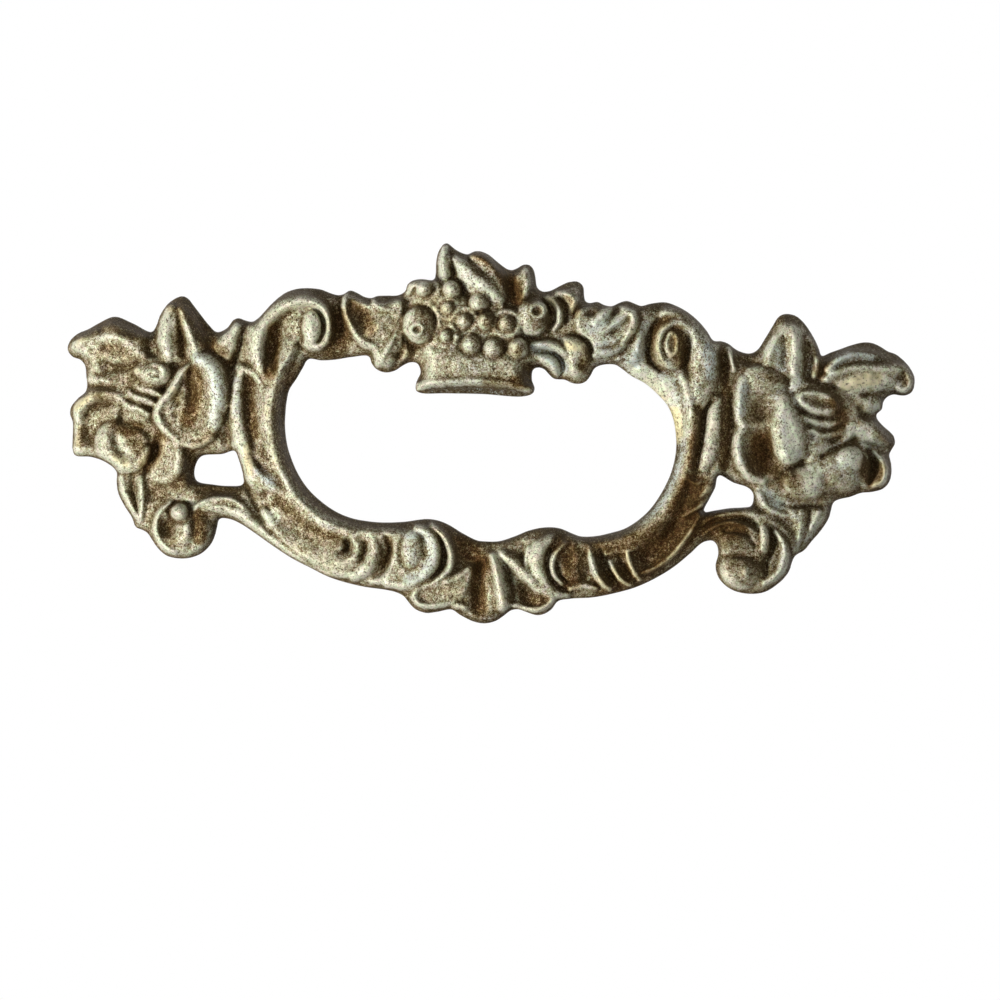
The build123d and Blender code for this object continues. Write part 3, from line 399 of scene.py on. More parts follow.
def carve_lower_scrolls(relief):
    """Crescents, bosses and leaf folds of the bottom bar on each side of the shell."""
    ridge, fold, groove, swell = relief.ridge, relief.fold, relief.groove, relief.swell
    # Left: folds of the leaf, then the large disc and its ringed boss
    ridge(((-16.9, -17.6), (-16.1, -18.6), (-16.2, -19.9), (-17.2, -20.9), (-18.8, -21.3)),
          (0.4, 0.6, 0.7, 0.6, 0.3), 5.3, 4.4)
    groove(((-17.6, -18), (-17.4, -18.9), (-18, -19.7), (-19, -20)), (0.5, 0.6, 0.5, 0.3),
           (0.6, 0.9, 0.6, 0.3))
    groove(((-15.8, -17.2), (-15, -18.6), (-15, -20.2), (-16, -21.5), (-17.6, -22.3)),
           (0.25, 0.35, 0.4, 0.35, 0.2), 0.35)
    ridge(((-14.6, -16.8), (-13.9, -18.2), (-13.9, -20), (-14.8, -21.8), (-16.3, -23)),
          (0.7, 0.95, 1.1, 1, 0.7), (5.3, 5.6, 5.7, 5.5, 5.1), 4.4, 2.4, 1)
    groove(((-12.5, -17.2), (-11.7, -18.5), (-11.6, -20), (-12.2, -21.5), (-13.6, -22.7)),
           (0.35, 0.6, 0.7, 0.6, 0.4), (0.6, 1.1, 1.2, 0.9, 0.4))
    relief.sheet(((-11.8, -20), (-11.4, -17.6), (-9.4, -16.1), (-7.2, -16), (-5.4, -17.4), (-4.9, -19.5),
                  (-5.4, -21.6), (-7, -23.3), (-9.8, -24), (-13, -24.1), (-14.6, -23.6), (-12.6, -22.3)),
                 5.2, 5.3, 1.6, (0.03, 0), 0.3, 0.6)
    relief.dome((-8.75, -19), (1.5, 2.5), 6.3, 5, -4, 0.4)
    groove(oval((-8.75, -19), (1.65, 2.65), -4)[2:-4].tolist(), 0.25, 0.5)
    ridge(((-8, -16.1), (-6.5, -16.8), (-5.7, -18.4), (-5.7, -20.2), (-6.3, -21.7), (-7.5, -22.9),
           (-9.4, -23.7), (-12, -23.9)), (0.6, 0.9, 1, 1, 1, 0.9, 0.7, 0.4), (5.7, 6, 6.1, 6, 5.8, 5.6, 5.3),
          4.8, 2.4, 1)
    groove(((-6, -15.9), (-4.9, -17.1), (-4.45, -18.6), (-4.4, -20.1), (-4.9, -21.6), (-6.2, -22.9),
            (-8.2, -23.9)), (0.3, 0.5, 0.6, 0.65, 0.6, 0.4, 0.25), (0.4, 0.9, 1.1, 1.1, 0.8, 0.5, 0.2))
    fold(((-6.2, -15.6), (-4.7, -16.8), (-3.7, -18.4), (-3.3, -20), (-3.6, -21.5), (-4.9, -22.8),
          (-6.9, -23.9), (-9.2, -24.3)), (0.4, 0.55, 0.6, 0.6, 0.6, 0.5, 0.4, 0.3),
         (5.4, 5.8, 5.9, 5.9, 5.8, 5.5, 5.1, 4.7), 4.2)
    swell((-1.4, -19), (2.8, 4), -1.1, 25)
    # Right: broad crescent, boss and the folds that follow it
    ridge(((7.1, -18), (6.75, -19.3), (6.9, -20.8), (7.5, -22), (8.7, -23.1)), (0.25, 0.3, 0.3, 0.3, 0.2),
          (5, 5.2, 5.2, 5.1, 4.8), 3.8)
    ridge(((9.8, -16.9), (8.7, -17.9), (8.2, -19.4), (8.5, -21.1), (9.4, -22.7), (10.9, -24.1),
           (12.4, -24.5)), (0.8, 1.2, 1.3, 1.2, 1, 0.8, 0.5), (5.4, 5.8, 5.9, 5.8, 5.5, 5.2, 4.9), 4.2, 2.4,
          1)
    groove(((10.9, -16.9), (9.8, -18), (9.4, -19.5), (9.7, -21.3), (10.6, -22.9), (12.2, -24)),
           (0.25, 0.35, 0.4, 0.4, 0.35, 0.25), (0.4, 0.7, 0.8, 0.8, 0.6, 0.3))
    ridge(((12, -17.3), (10.8, -18.6), (10.3, -20.2), (10.7, -21.7), (11.8, -22.8)),
          (0.3, 0.42, 0.48, 0.45, 0.3), (5.6, 6.1, 6.2, 6, 5.5), 4)
    relief.dome((13, -19.9), (2.1, 2.7), 5.5, 4.2, 5)
    swell((12.4, -19.4), (1.4, 2.1), -0.7)
    swell((14.4, -20.6), (1, 2.4), -0.8, 5)
    ridge(((15.2, -17.8), (15.6, -19.4), (16.2, -21), (17.1, -22.4), (18.2, -23.3)),
          (0.45, 0.6, 0.65, 0.6, 0.4), (5.7, 6.1, 6.1, 5.8, 5.2), 3.8)
    fold(((12.8, -23.4), (14.6, -22.9), (16.4, -23.2)), (0.4, 0.6, 0.4), 5.1, 3.8)
    groove(((16.7, -18), (17.1, -19.6), (18, -21.2), (19.3, -22.6)), (0.4, 0.6, 0.6, 0.35),
           (0.5, 0.9, 0.9, 0.4))
    ridge(((18.1, -19.5), (18.9, -21), (19.9, -22.1), (21, -22.7)), (0.3, 0.38, 0.38, 0.25),
          (5, 5.5, 5.5, 5), 4)
    groove(((19.2, -18.6), (19.7, -20), (20.5, -21.4)), (0.3, 0.4, 0.3), 0.6)
    ridge(((20.3, -18), (20.7, -19.4), (21.4, -20.8), (22.2, -21.8)), (0.35, 0.42, 0.42, 0.3),
          (5.4, 5.8, 5.7, 5.1), 4)
    ridge(((17.4, -18.6), (18.8, -18.2), (20.4, -18), (21.6, -17.6)), 0.28, 5.2, 4.2)
    groove(((21.8, -18.8), (22.8, -19.6), (24.2, -19.6)), (0.5, 0.8, 0.6), 0.5)


def carve_shell(relief):
    """Fluted shell under the bottom bar."""
    ridge, fold, groove, swell = relief.ridge, relief.fold, relief.groove, relief.swell
    relief.sheet(((-8.6, -24.9), (-8.3, -26.2), (-6.8, -26.8), (-4.8, -26.7), (-3, -26.2), (-1.4, -25.6),
                  (-0.6, -23.4), (-0.1, -21), (-1.6, -21.8), (-4, -23), (-6.4, -23.8), (-8, -24.2)), 4.7,
                 4.5, 1, (0.06, 0.02), 0.2, 0.6)
    ridge(((-7.6, -24.3), (-8.2, -25.2), (-7.6, -26.2), (-6, -26.5), (-4.2, -26.3), (-2.6, -25.8)), 0.38,
          (5, 5.2, 5.3, 5.3, 5.2, 4.8), 4)
    fold(((-6.8, -24), (-4.6, -23.4), (-2.4, -22.4), (-0.8, -21.2)), (0.4, 0.6, 0.7, 0.5),
         (5, 5.2, 5.3, 5.2), 4)
    ridge(((-2.6, -26.6), (-1.9, -26.2), (-1.2, -26.6)), 0.5, 4.9, 3.4)
    groove(((0.6, -20.2), (0.5, -22.2), (0.5, -24.4), (0.6, -26.6)), (0.6, 1.1, 1.5, 1.4),
           (0.7, 1.4, 1.5, 1.1))
    fold(((2.2, -19.4), (2.8, -21.3), (3.3, -23.5), (3.9, -26)), (0.6, 0.85, 1, 1.1), (5.3, 5.9, 6, 5.7), 4)
    groove(((3.8, -20.2), (4.6, -22.2), (5.2, -24.2), (5.6, -26)), (0.3, 0.45, 0.5, 0.4),
           (0.6, 1.1, 1.2, 0.8))
    ridge(((3.6, -19.2), (5, -20.1), (6.6, -21.6), (8.3, -23.1), (10.3, -24.4)), (0.7, 1, 1.05, 0.95, 0.7),
          (5, 5.5, 5.6, 5.5, 5.2), 4.2, 2.4, 1)
    swell((6.8, -24.4), (1.6, 2.8), -1.2, 35)
    ridge(((5.4, -26), (6.9, -26.4), (8.6, -26.4), (10, -25.7), (10.8, -24.8)), 0.45, (4.8, 5, 5.1, 5.1, 5),
          3.6)
    swell((1.6, -18.3), (2.4, 1.4), -0.7)
    groove(((6.3, -17.6), (6.1, -19.2), (6.4, -20.6)), (0.3, 0.4, 0.3), 0.6)


def carve_left_flower(relief):
    """Open flower at the left end, its pistil and its leaves."""
    ridge, fold, groove, sheet, swell = relief.ridge, relief.fold, relief.groove, relief.sheet, relief.swell
    # Outer leaf: the lobe at its tip, then the roof that overlaps it and its folds
    sheet(((-52.4, 9.9), (-54.6, 9.1), (-56.1, 7.8), (-56.4, 6.4), (-55.4, 5.5), (-54, 4.6), (-53.6, 3),
           (-51.6, 2.8), (-50.8, 5), (-51.2, 7.8)), 4.3, 5, 1.4, (0, 0), 0.3, 1)
    fold(((-55.4, 6.9), (-54.4, 7.6), (-53.2, 8)), (0.7, 0.9, 0.6), (5.2, 5.6, 5.4), 4.2)
    groove(((-54.9, 6.3), (-53.8, 6.5), (-52.9, 5.9), (-52, 4.4)), 0.4, 0.3)
    sheet(((-45.4, 8.6), (-48, 9.9), (-50.6, 10.8), (-52.3, 10), (-52.7, 8.4), (-52.4, 6.6), (-51, 5),
           (-49.6, 3.9), (-47.2, 4), (-45.7, 5.8)), 4.5, 5.6, 2, (0.02, 0.02), 0.4, 1)
    fold(((-52.2, 7.9), (-50.8, 8.3), (-49.2, 7.9), (-47.6, 6.9), (-46.2, 5.6)), (0.7, 1, 1.1, 1, 0.7),
         (5.7, 6.2, 6.2, 5.9, 5.5), 4.8)
    fold(((-51.4, 5.8), (-50, 5.4), (-48.8, 5.4)), (0.7, 0.9, 0.6), (5.5, 5.7, 5.5), 5)
    swell((-50.3, 6.9), (1, 0.6), -0.4, -10)
    relief.flank(((-55.4, 8.8), (-52.7, 10)), 1.6, 1.1, 2)
    relief.flank(((-51.8, 10.6), (-50.5, 11), (-48, 10.2), (-45.3, 9.1)), 2.4, 1.7, 1.8)
    # Top petal: bright left panel, valley, right ridge and a flank that falls away
    sheet(((-44.6, 4.8), (-44.4, 8), (-44.2, 10.6), (-43, 12.6), (-41.3, 13.6), (-39.9, 12.6), (-38.4, 10.8),
           (-36.9, 8.8), (-37.2, 6.4), (-39.4, 5), (-42, 4.4)), 4.6, 5.5, 1.6, (-0.06, -0.02), 0.3, 1.2)
    fold(((-42.8, 12.4), (-43.2, 10.4), (-43.2, 8), (-42.8, 5.8)), (0.7, 1.1, 1.25, 1), (5.6, 6.2, 6.4, 6.1),
         4.8)
    groove(((-41.8, 12.2), (-41.4, 10.4), (-41, 8.4), (-40.7, 6)), (0.35, 0.7, 0.9, 0.9),
           (0.5, 1.2, 1.6, 1.5))
    fold(((-41.2, 12), (-40.6, 10.4), (-39.9, 8.8), (-39.2, 7.2)), (0.45, 0.7, 0.8, 0.6), (5.6, 6.2, 6.3, 6),
         4.9)
    swell((-38, 9.2), (1.4, 3.2), -1, 25)
    relief.flank(((-44.2, 11.5), (-42.5, 13.6), (-41, 14), (-39.3, 12.4), (-37.5, 10.3)), 2.4, 1.4, 2)
    # Small leaf
    sheet(((-36.6, 8.4), (-34.9, 9.4), (-34.2, 10.6), (-33.4, 10.9), (-32.6, 10.2), (-32.8, 8), (-33.4, 6),
           (-34.4, 5), (-35.8, 5.4), (-37, 6.6)), 4.4, 5.2, 1.2, (-0.1, 0), 0.3, 1)
    fold(((-36, 7.4), (-34.6, 8.6), (-33.6, 10)), (0.8, 1, 0.7), (5.2, 5.7, 5.5), 4.6)
    groove(((-33, 10), (-33.2, 8), (-33.6, 6.2), (-34.3, 4.6)), (0.3, 0.6, 0.7, 0.7), (0.5, 1, 1.2, 1.1))
    # Rough ground beside the pistil
    sheet(((-54, 3.4), (-52, 3.6), (-48.6, 4.4), (-46.5, 5.4), (-43.6, 5), (-42.4, 3), (-43.5, 0),
           (-44.6, -3), (-46, -4), (-48.4, -3.4), (-50.5, 0.4), (-53.8, 1.4)), 4.4, 5, 1.4, (0.04, 0), 0.2,
          1)
    fold(((-54, 2.2), (-52, 2.4), (-49.8, 2)), (0.5, 0.6, 0.4), (4.8, 5.1, 5), 4.4)
    # Lower left petal, rolled over along its upper edge
    sheet(((-49, 1), (-51, 1.4), (-53, 1), (-54.6, 0), (-55.6, -1.6), (-55.4, -3.4), (-55.3, -6),
           (-55.2, -7.9), (-53, -8), (-51, -8.2), (-49.6, -5), (-48.8, -2)), 5.2, 4.2, 2.4, (0.03, 0.05),
          0.3, 0.8)
    fold(((-48.6, 0), (-50.6, 0.4), (-52.6, 0.1), (-54.1, -0.9), (-54.9, -2.2), (-54.9, -3.4)),
         (0.8, 1.1, 1.2, 1.2, 0.9, 0.5), (5.3, 5.9, 6.1, 6, 5.6, 5.2), 4.2)
    groove(((-49.4, -1.2), (-51.2, -0.9), (-52.8, -1.5), (-53.7, -2.7)), (0.4, 0.6, 0.6, 0.4),
           (0.4, 0.7, 0.7, 0.4))
    ridge(((-55.2, -3), (-55, -5.4), (-55, -7.7), (-53, -7.9), (-51.2, -8.2)), 0.45, (5, 5.1, 5.1, 4.8, 4.6),
          3.8)
    swell((-53.2, -5), (1.6, 2.8), -0.5, 10)
    # Round lower petal with its thick left rim, open to the upper right
    sheet(((-50.2, -3.1), (-51.5, -4.4), (-51.9, -6.2), (-51, -8.4), (-49.4, -9.6), (-47.4, -9.8),
           (-45.7, -8.9), (-44.8, -7.2), (-44.7, -5.4), (-45.8, -4), (-48, -3.2)), 4.9, 5.2, 2.2, (0, 0.02),
          0.2, 1)
    fold(((-49.9, -3.6), (-50.8, -4.8), (-51, -6.2), (-50.3, -7.8), (-49, -8.8), (-47.4, -9), (-46, -8.4),
          (-45.2, -7)), (0.7, 1.3, 1.6, 1.6, 1.4, 1.2, 0.9, 0.6), (5.6, 6.2, 6.4, 6.3, 6.1, 5.8, 5.6, 5.4),
         4.9)
    swell((-47, -5.4), (1.9, 2.4), -0.3, 20)
    # Lower middle petal
    sheet(((-44, -4.2), (-44.2, -7), (-45.2, -9.4), (-44.4, -11), (-42.6, -11.5), (-41.2, -11),
           (-40.2, -9.4), (-39.7, -7), (-40.4, -5.4), (-42.4, -4.6)), 4.9, 4.8, 1, (0.04, 0), 0.4, 0.9)
    fold(((-41.2, -5.8), (-40.9, -7.2), (-40.9, -8.8), (-41.6, -10.2), (-43, -10.9), (-44.4, -10.4)),
         (0.8, 1, 1, 0.9, 0.7, 0.4), (5.4, 5.7, 5.6, 5.3, 5, 4.8), 4.4)
    groove(((-43.7, -4.8), (-43.9, -6.6), (-44.5, -8.4), (-45.2, -9.8)), (0.6, 1, 0.9, 0.6),
           (0.8, 1.5, 1.4, 0.8))
    # Cup petal: rolled lip on the left, deep hollow, smooth bulge on the right
    sheet(((-39.6, 5.4), (-40.6, 4.6), (-41.5, 2.8), (-42.7, 0.9), (-43.9, -0.8), (-44.3, -2.6),
           (-43.6, -4.2), (-42.2, -5.6), (-40.2, -6.4), (-38, -6.3), (-36.2, -5.4), (-35.1, -3.8),
           (-34.6, -1.6), (-34.6, 1), (-34.7, 3.4), (-35.3, 5.4), (-37.2, 6.6)), 5.6, 5.5, 1.4, (0, 0), 0.4,
          0.8)
    fold(((-38.6, 5.6), (-37.1, 4.6), (-36.3, 2.6), (-36, 0.2), (-36.3, -2.4)), (1.2, 1.7, 1.9, 1.7, 1.3),
         (6.6, 7, 7, 6.7, 6.2), 5)
    groove(((-39.8, 4.4), (-39.6, 2.8), (-39.4, 0.8), (-39.6, -1)), (0.4, 0.9, 1.3, 1.2),
           (0.9, 1.5, 1.7, 0.6))
    groove(((-40.6, 2.4), (-41.1, 0.6), (-41.3, -1.2)), (0.9, 1.4, 1), (0.7, 1, 0.4))
    swell((-39.4, -2.8), (3.2, 2.6), -0.5)
    fold(((-40, 4.6), (-40.9, 3.7), (-41.6, 2.2), (-42.5, 0.7), (-43.4, -0.4), (-44, -1.8), (-43.4, -3.3),
          (-42.1, -4.8), (-40.4, -5.8), (-38.4, -6), (-36.4, -5)),
         (0.4, 0.6, 0.7, 0.7, 0.75, 0.75, 0.6, 0.5, 0.5, 0.5, 0.4),
         (5.8, 6.3, 6.4, 6.4, 6.4, 6.3, 6, 5.8, 5.7, 5.7, 5.4), 5.2)
    groove(((-42, 3), (-43.1, 1.5), (-44.3, 0), (-44.9, -1.8), (-44.4, -3.6)), 0.5,
           (0.2, 0.6, 0.7, 0.6, 0.2))
    swell((-41.6, -2), (0.8, 0.6), -0.7, 20)
    # Pistil: knob with a ring, then rows of small ribs
    relief.dome((-44.8, 3.6), (2.5, 2.1), 6.2, 4.9, 5)
    relief.dome((-44.7, 3.5), (2, 1.35), 6.9, 5.6, 10, 0.4)
    groove(((-45.1, 4.2), (-44.2, 4.1), (-43.7, 3.5), (-44.2, 3.1), (-45, 3.3)), 0.4,
           (0.3, 0.6, 0.6, 0.6, 0.3))
    relief.dome((-46.6, 3.7), (0.9, 0.8), 6.4, 5)
    groove(((-47.4, 2.2), (-46, 1.6), (-44.4, 1.5), (-43, 2)), 0.3, (0.2, 0.6, 0.6, 0.2))
    for points in (((-47, 1.9), (-46, 1.3), (-44.8, 1), (-43.6, 0.5)),
                   ((-48, 0.8), (-46.9, 0.1), (-45.6, -0.2), (-44.4, -0.7)),
                   ((-48.7, -0.6), (-47.6, -1.2), (-46.4, -1.5), (-45.2, -2.1))):
        fold(points, (0.4, 0.65, 0.65, 0.4), (5.5, 6, 6, 5.6), 5.1)
    groove(((-47.8, 1.4), (-46.6, 0.7), (-45.2, 0.4), (-44, -0.1)), 0.25, 0.45)
    groove(((-48.6, 0), (-47.4, -0.5), (-46, -0.8), (-44.8, -1.4)), 0.25, 0.45)
    # Hanging leaf and the ground between petals
    sheet(((-49.1, -10.2), (-49, -12), (-48.6, -13.2), (-47.4, -15.2), (-46.2, -17), (-45.5, -16.6),
           (-45, -14.4), (-44.9, -12), (-45.6, -10.2), (-47.4, -10)), 4.4, 4.4, 0.8, (0.05, 0), 0.3, 0.8)
    ridge(((-45.9, -10.6), (-45.7, -12.6), (-45.6, -14.6), (-45.7, -16.4)), (0.4, 0.55, 0.5, 0.35),
          (4.9, 5.2, 5.1, 4.8), 3.8)
    groove(((-47, -10.6), (-46.9, -12.4), (-46.5, -14.2), (-46.2, -15.6)), (0.6, 0.7, 0.5, 0.3), 0.8)
    ridge(((-48.6, -10.8), (-48.2, -12.6), (-47.4, -14.2), (-46.4, -16)), (0.5, 0.65, 0.6, 0.35), 5, 3.8)
    swell((-44.2, -13), (1.2, 1.4), -0.5)
    swell((-39, -9.6), (1, 2.8), -0.8)
    swell((-34.4, -5), (1.1, 2.2), -1)


def carve_right_flower(relief):
    """Open flower at the right end, with its pistil and the hooked leaf."""
    ridge, fold, groove, sheet, swell = relief.ridge, relief.fold, relief.groove, relief.sheet, relief.swell
    # Top petal: pale left panel, ridge, valley and right rim
    sheet(((37.2, 9), (38.2, 11.4), (39.2, 13.2), (40.2, 14.2), (41.5, 14.3), (42.8, 13.6), (44, 12.1),
           (45, 10.2), (45.2, 8), (44.6, 6), (42, 5), (39, 6.4), (37.2, 7.2)), 4.6, 5.5, 1.5, (0, -0.02),
          0.3, 1.2)
    fold(((41.6, 13), (42, 11.4), (42.2, 9.4), (42.1, 7.6), (42.6, 5.8)), (0.6, 0.85, 0.9, 0.9, 0.7),
         (5.8, 6.3, 6.4, 6.3, 6), 5)
    groove(((40.4, 12), (40.6, 10.2), (40.6, 8.2)), (0.3, 0.6, 0.6), 0.5)
    fold(((38.4, 8), (38.7, 9.8), (39.4, 11.6)), (0.7, 0.9, 0.6), (5.6, 5.9, 5.6), 4.6)
    groove(((42.9, 12.2), (43.5, 10.4), (43.8, 8.6), (43.8, 6.8)), (0.5, 0.8, 0.9, 0.8), (0.4, 0.9, 1, 0.8))
    fold(((43.9, 12), (44.8, 10.6), (45.1, 8.8), (44.9, 6.8)), (0.4, 0.6, 0.6, 0.5), (5.1, 5.5, 5.5, 5.3),
         4.6)
    relief.flank(((37.6, 10.8), (39.2, 13.8), (41, 15), (43, 14.1), (44.8, 11.6)), 2.6, 1.7, 2)
    # Small dark leaf against the frame
    ridge(((33.1, 9.8), (33.5, 8.4), (33.9, 7)), 0.4, (4.9, 5.2, 5.1), 4)
    swell((32.4, 7.4), (0.8, 3), -1, 10)
    swell((35.6, 8.3), (1.6, 0.8), -0.7, -10)
    # Hooked leaf
    sheet(((46, 9), (48, 10), (50.2, 10.8), (52.4, 11.1), (54.6, 10.2), (56.6, 9.3), (58, 7.8), (58.3, 6.3),
           (57.6, 5.2), (56.2, 5.1), (54.8, 4.6), (53.9, 3.4), (53.4, 2.3), (51.5, 2), (49.6, 2.6),
           (47.4, 4.6), (45.9, 5.6), (45.6, 7.4)), 4.4, 5.3, 1.8, (-0.02, -0.03), 0.3, 1)
    fold(((46.6, 6.2), (48.2, 7.2), (50, 7.9), (52.4, 8.1), (54.6, 8.1), (56.6, 8)),
         (0.8, 1.1, 1.2, 1.1, 0.9, 0.6), (5.6, 6.1, 6.2, 6.1, 6, 5.8), 4.4, 0.2)
    fold(((46.6, 7.6), (48, 9), (49.8, 9.8), (51.6, 10), (53.4, 9.8)), (0.6, 0.8, 0.9, 0.7, 0.4),
         (5.6, 6, 6, 5.7, 5.3), 4)
    groove(((47.6, 7.8), (49.2, 8.6), (51, 9), (53.4, 9), (55.8, 8.8)), (0.4, 0.6, 0.6, 0.5, 0.3),
           (0.5, 0.8, 0.8, 0.6, 0.3))
    ridge(((55.8, 8.6), (57.2, 8.3), (58, 7.2), (58, 6), (57.2, 5.3), (56.4, 5.6)),
          (0.5, 0.6, 0.6, 0.55, 0.5, 0.4), (5.6, 5.7, 5.6, 5.4, 5.2, 5), 3.8)
    swell((56.6, 6.9), (0.9, 0.8), -0.9)
    fold(((48.4, 5.2), (50.4, 6), (52.6, 6.3), (54.6, 6.3)), (1, 1.4, 1.3, 0.8), (5.3, 5.8, 5.8, 5.3), 4.2)
    relief.dome((52.7, 3.1), (1.8, 1.3), 5.3, 3.6, 20)
    groove(((51.4, 4.4), (53, 4.6), (54.4, 4.9)), (0.4, 0.5, 0.4), 0.8)
    groove(((47.6, 5), (49, 4), (50.2, 2.6)), (0.6, 0.9, 0.7), 1.2)
    relief.flank(((47, 10), (50, 11.2), (53.5, 11.3), (56, 10.2), (58, 8.5)), 2.4, 1.6, 2)
    # Petals at the right edge
    sheet(((50.4, 1.9), (52, 1.8), (53.6, 1.1), (55, 0), (55.9, -1.2), (56, -2.2), (55, -2.9), (53.4, -2.8),
           (51.8, -2), (50, -1)), 4.5, 5.2, 1.4, (-0.1, -0.05), 0.3, 0.9)
    fold(((51.2, 0.6), (53, -0.2), (54.6, -1.2)), (1, 1.1, 0.7), (5.5, 5.6, 5.2), 4.2)
    sheet(((51.8, -3), (53.6, -2.9), (55, -3.3), (55.4, -4.8), (55.6, -6.4), (54.8, -7.8), (53, -8.4),
           (51.5, -8.2), (51.4, -5.6)), 4.6, 4.8, 1, (0.02, 0), 0.3, 0.8)
    ridge(((53.4, -3.4), (54.6, -4.4), (55.1, -5.8), (54.8, -7.2), (53.6, -7.9)),
          (0.4, 0.55, 0.6, 0.55, 0.4), (5.2, 5.6, 5.6, 5.4, 5), 3.8)
    groove(((52.6, -3), (53.4, -4.2), (53.5, -5.8), (53, -7.4)), (0.4, 0.8, 0.9, 0.6), (1, 2, 2.1, 1.2))
    # Ground under the pistil, and the rolled petal below it
    sheet(((41.4, 6.6), (44.6, 6.2), (47.4, 5.6), (49.8, 4.6), (51.4, 2.8), (51.6, 0.6), (50.6, -2),
           (48, -3.6), (44.8, -5.4), (42.4, -4)), 5, 5.3, 1.2, (0, 0), 0.2, 0.8)
    sheet(((41.1, -6.4), (43, -5.2), (45.4, -4.9), (47.1, -3.2), (49.2, -2.2), (51.4, -2.7), (52.6, -4.4),
           (52.6, -6.8), (51.6, -8.4), (49.6, -9.2), (47.4, -9.5), (45.2, -10.4), (43, -10.3), (41.2, -9.2)),
          4.9, 6.3, 2.6, (0.03, 0.03), 0.4, 0.8)
    fold(((42.6, -7.6), (44.6, -7.4), (46.6, -6.6), (48.4, -5.4), (50.2, -4.2)), (1.6, 2.1, 2.2, 2.2, 1.7),
         (6.2, 6.4, 6.4, 6.8, 6.6), 5.2)
    relief.dome((50, -4.6), (2, 1.8), 7.2, 5.8, 20)
    swell((46.8, -7.2), (1.1, 1.4), -0.5, 20)
    # Cup petal: ridge on the left, two deep hollows, pear shaped bulge on the right
    sheet(((34.2, 6), (33.9, 3.5), (34, -0.7), (34.2, -4.8), (35.5, -7.3), (38.2, -8.5), (41, -7.6),
           (43, -5.6), (44.4, -3.6), (44.6, -1.5), (43.7, 1.2), (42.1, 3.7), (40.9, 6), (39, 7.4),
           (36.6, 7.4)), 4.8, 5.3, 1.4, (0, 0), 0.3, 0.8)
    fold(((35.2, 5.6), (34.9, 3.6), (34.8, 1.8), (35, 0.2), (35.6, -0.6), (34.9, -1.8), (34.9, -3.6),
          (35.4, -5.4), (36.6, -7), (38.4, -7.7)), (0.9, 1, 1, 0.8, 0.7, 0.9, 1, 1, 0.9, 0.7),
         (5.8, 6.1, 6.1, 5.9, 5.8, 6, 6.2, 6.1, 5.8, 5.5), 4.6)
    relief.dome((38.2, 5.9), (3, 1.9), 6.2, 4.8, -15)
    swell((37.9, 2), (2.1, 2.7), -1.1, -10)
    swell((38.3, -4), (3.3, 4.6), -1.7, 8)
    fold(((35.4, -0.4), (36.6, -0.3), (38.4, 0)), (0.8, 0.7, 0.5), (5.8, 5.4, 5.1), 4.6)
    sheet(((41, 4.4), (42.2, 3.3), (43.4, 1.3), (44.4, -1.2), (44.4, -3.6), (43.2, -5.3), (41.4, -5.8),
           (39.9, -4.8), (39.1, -2.6), (38.8, 0), (39.3, 2.4), (40.1, 3.9)), 5.7, 6.9, 1.7, (-0.04, 0), 0.5,
          0.6)
    groove(((41.8, 4.6), (43, 2.8), (44.1, 0.8), (44.8, -1.4), (44.7, -3.8), (43.4, -5.6)), 0.35,
           (0.4, 0.7, 0.7, 0.7, 0.6, 0.3))
    # Pistil: tilted ring over rows of folds
    relief.dome((45.4, 3.1), (3.4, 1.8), 6.2, 5.4, -12)
    relief.ring((45.5, 3.2), (2.5, 1.1), 0.5, 6.6, 5.8, -12)
    swell((45.6, 3.2), (2.1, 0.8), -0.5, -12)
    groove(((42.4, 2.6), (43.7, 1.7), (45.4, 1.2), (47.4, 1), (49, 1.8)), 0.35, (0.3, 0.7, 0.8, 0.7, 0.4))
    ridge(((43.2, 1.2), (44.6, 0.6), (46.4, 0.3), (48.2, 0.5), (49.8, 1.4)), (0.4, 0.6, 0.65, 0.6, 0.4),
          (5.6, 5.9, 5.9, 5.8, 5.5), 5)
    groove(((44.2, 0), (45.6, -0.5), (47.4, -0.5), (49.2, 0.3)), (0.3, 0.4, 0.4, 0.3), 0.8)
    ridge(((44.8, -0.8), (46.2, -1.3), (47.8, -1.2), (49.4, -0.4)), (0.5, 0.6, 0.6, 0.4),
          (5.5, 5.7, 5.6, 5.3), 5)
    swell((47.8, -2), (2.4, 0.9), -0.9, 15)
    relief.dome((45.8, -2.9), (1.8, 1.2), 5.8, 5, 10)
    groove(((46.4, -4.2), (47.8, -3.2), (49.4, -2.3), (50.6, -1.7)), 0.4, 0.6)
    # Hanging leaf and the web above the foot
    sheet(((41.4, -10.6), (44.6, -11), (47.6, -10.8), (47.4, -12.6), (46.4, -14.2), (45, -15.8),
           (43.6, -17.3), (42.6, -16.4), (42.4, -14), (41.6, -12.4)), 4.2, 4.8, 1.4, (0, 0), 0.3, 0.8)
    groove(((45, -11.4), (44.8, -13.2), (44.4, -15), (43.8, -16.6)), (0.3, 0.45, 0.45, 0.3), 0.9)
    groove(((46.6, -12), (45.8, -13.2), (45, -14.6)), 0.3, 0.6)
    ridge(((43.8, -11.6), (43.8, -13.6), (43.6, -15.4)), (0.5, 0.6, 0.4), 5.1, 3.8)
    ridge(((46.2, -11.6), (45.8, -12.8), (45.2, -14)), (0.5, 0.6, 0.4), 5.1, 3.8)
    groove(((40.6, -10.6), (42.4, -11.2), (44.4, -11), (46.6, -10.8)), 0.35, (0.4, 0.7, 0.8, 0.6))
    fold(((38, -9.6), (38.8, -11), (40.4, -12), (42, -12.4)), (0.6, 0.7, 0.6, 0.4), (4.6, 4.9, 4.9, 4.7),
         3.6)


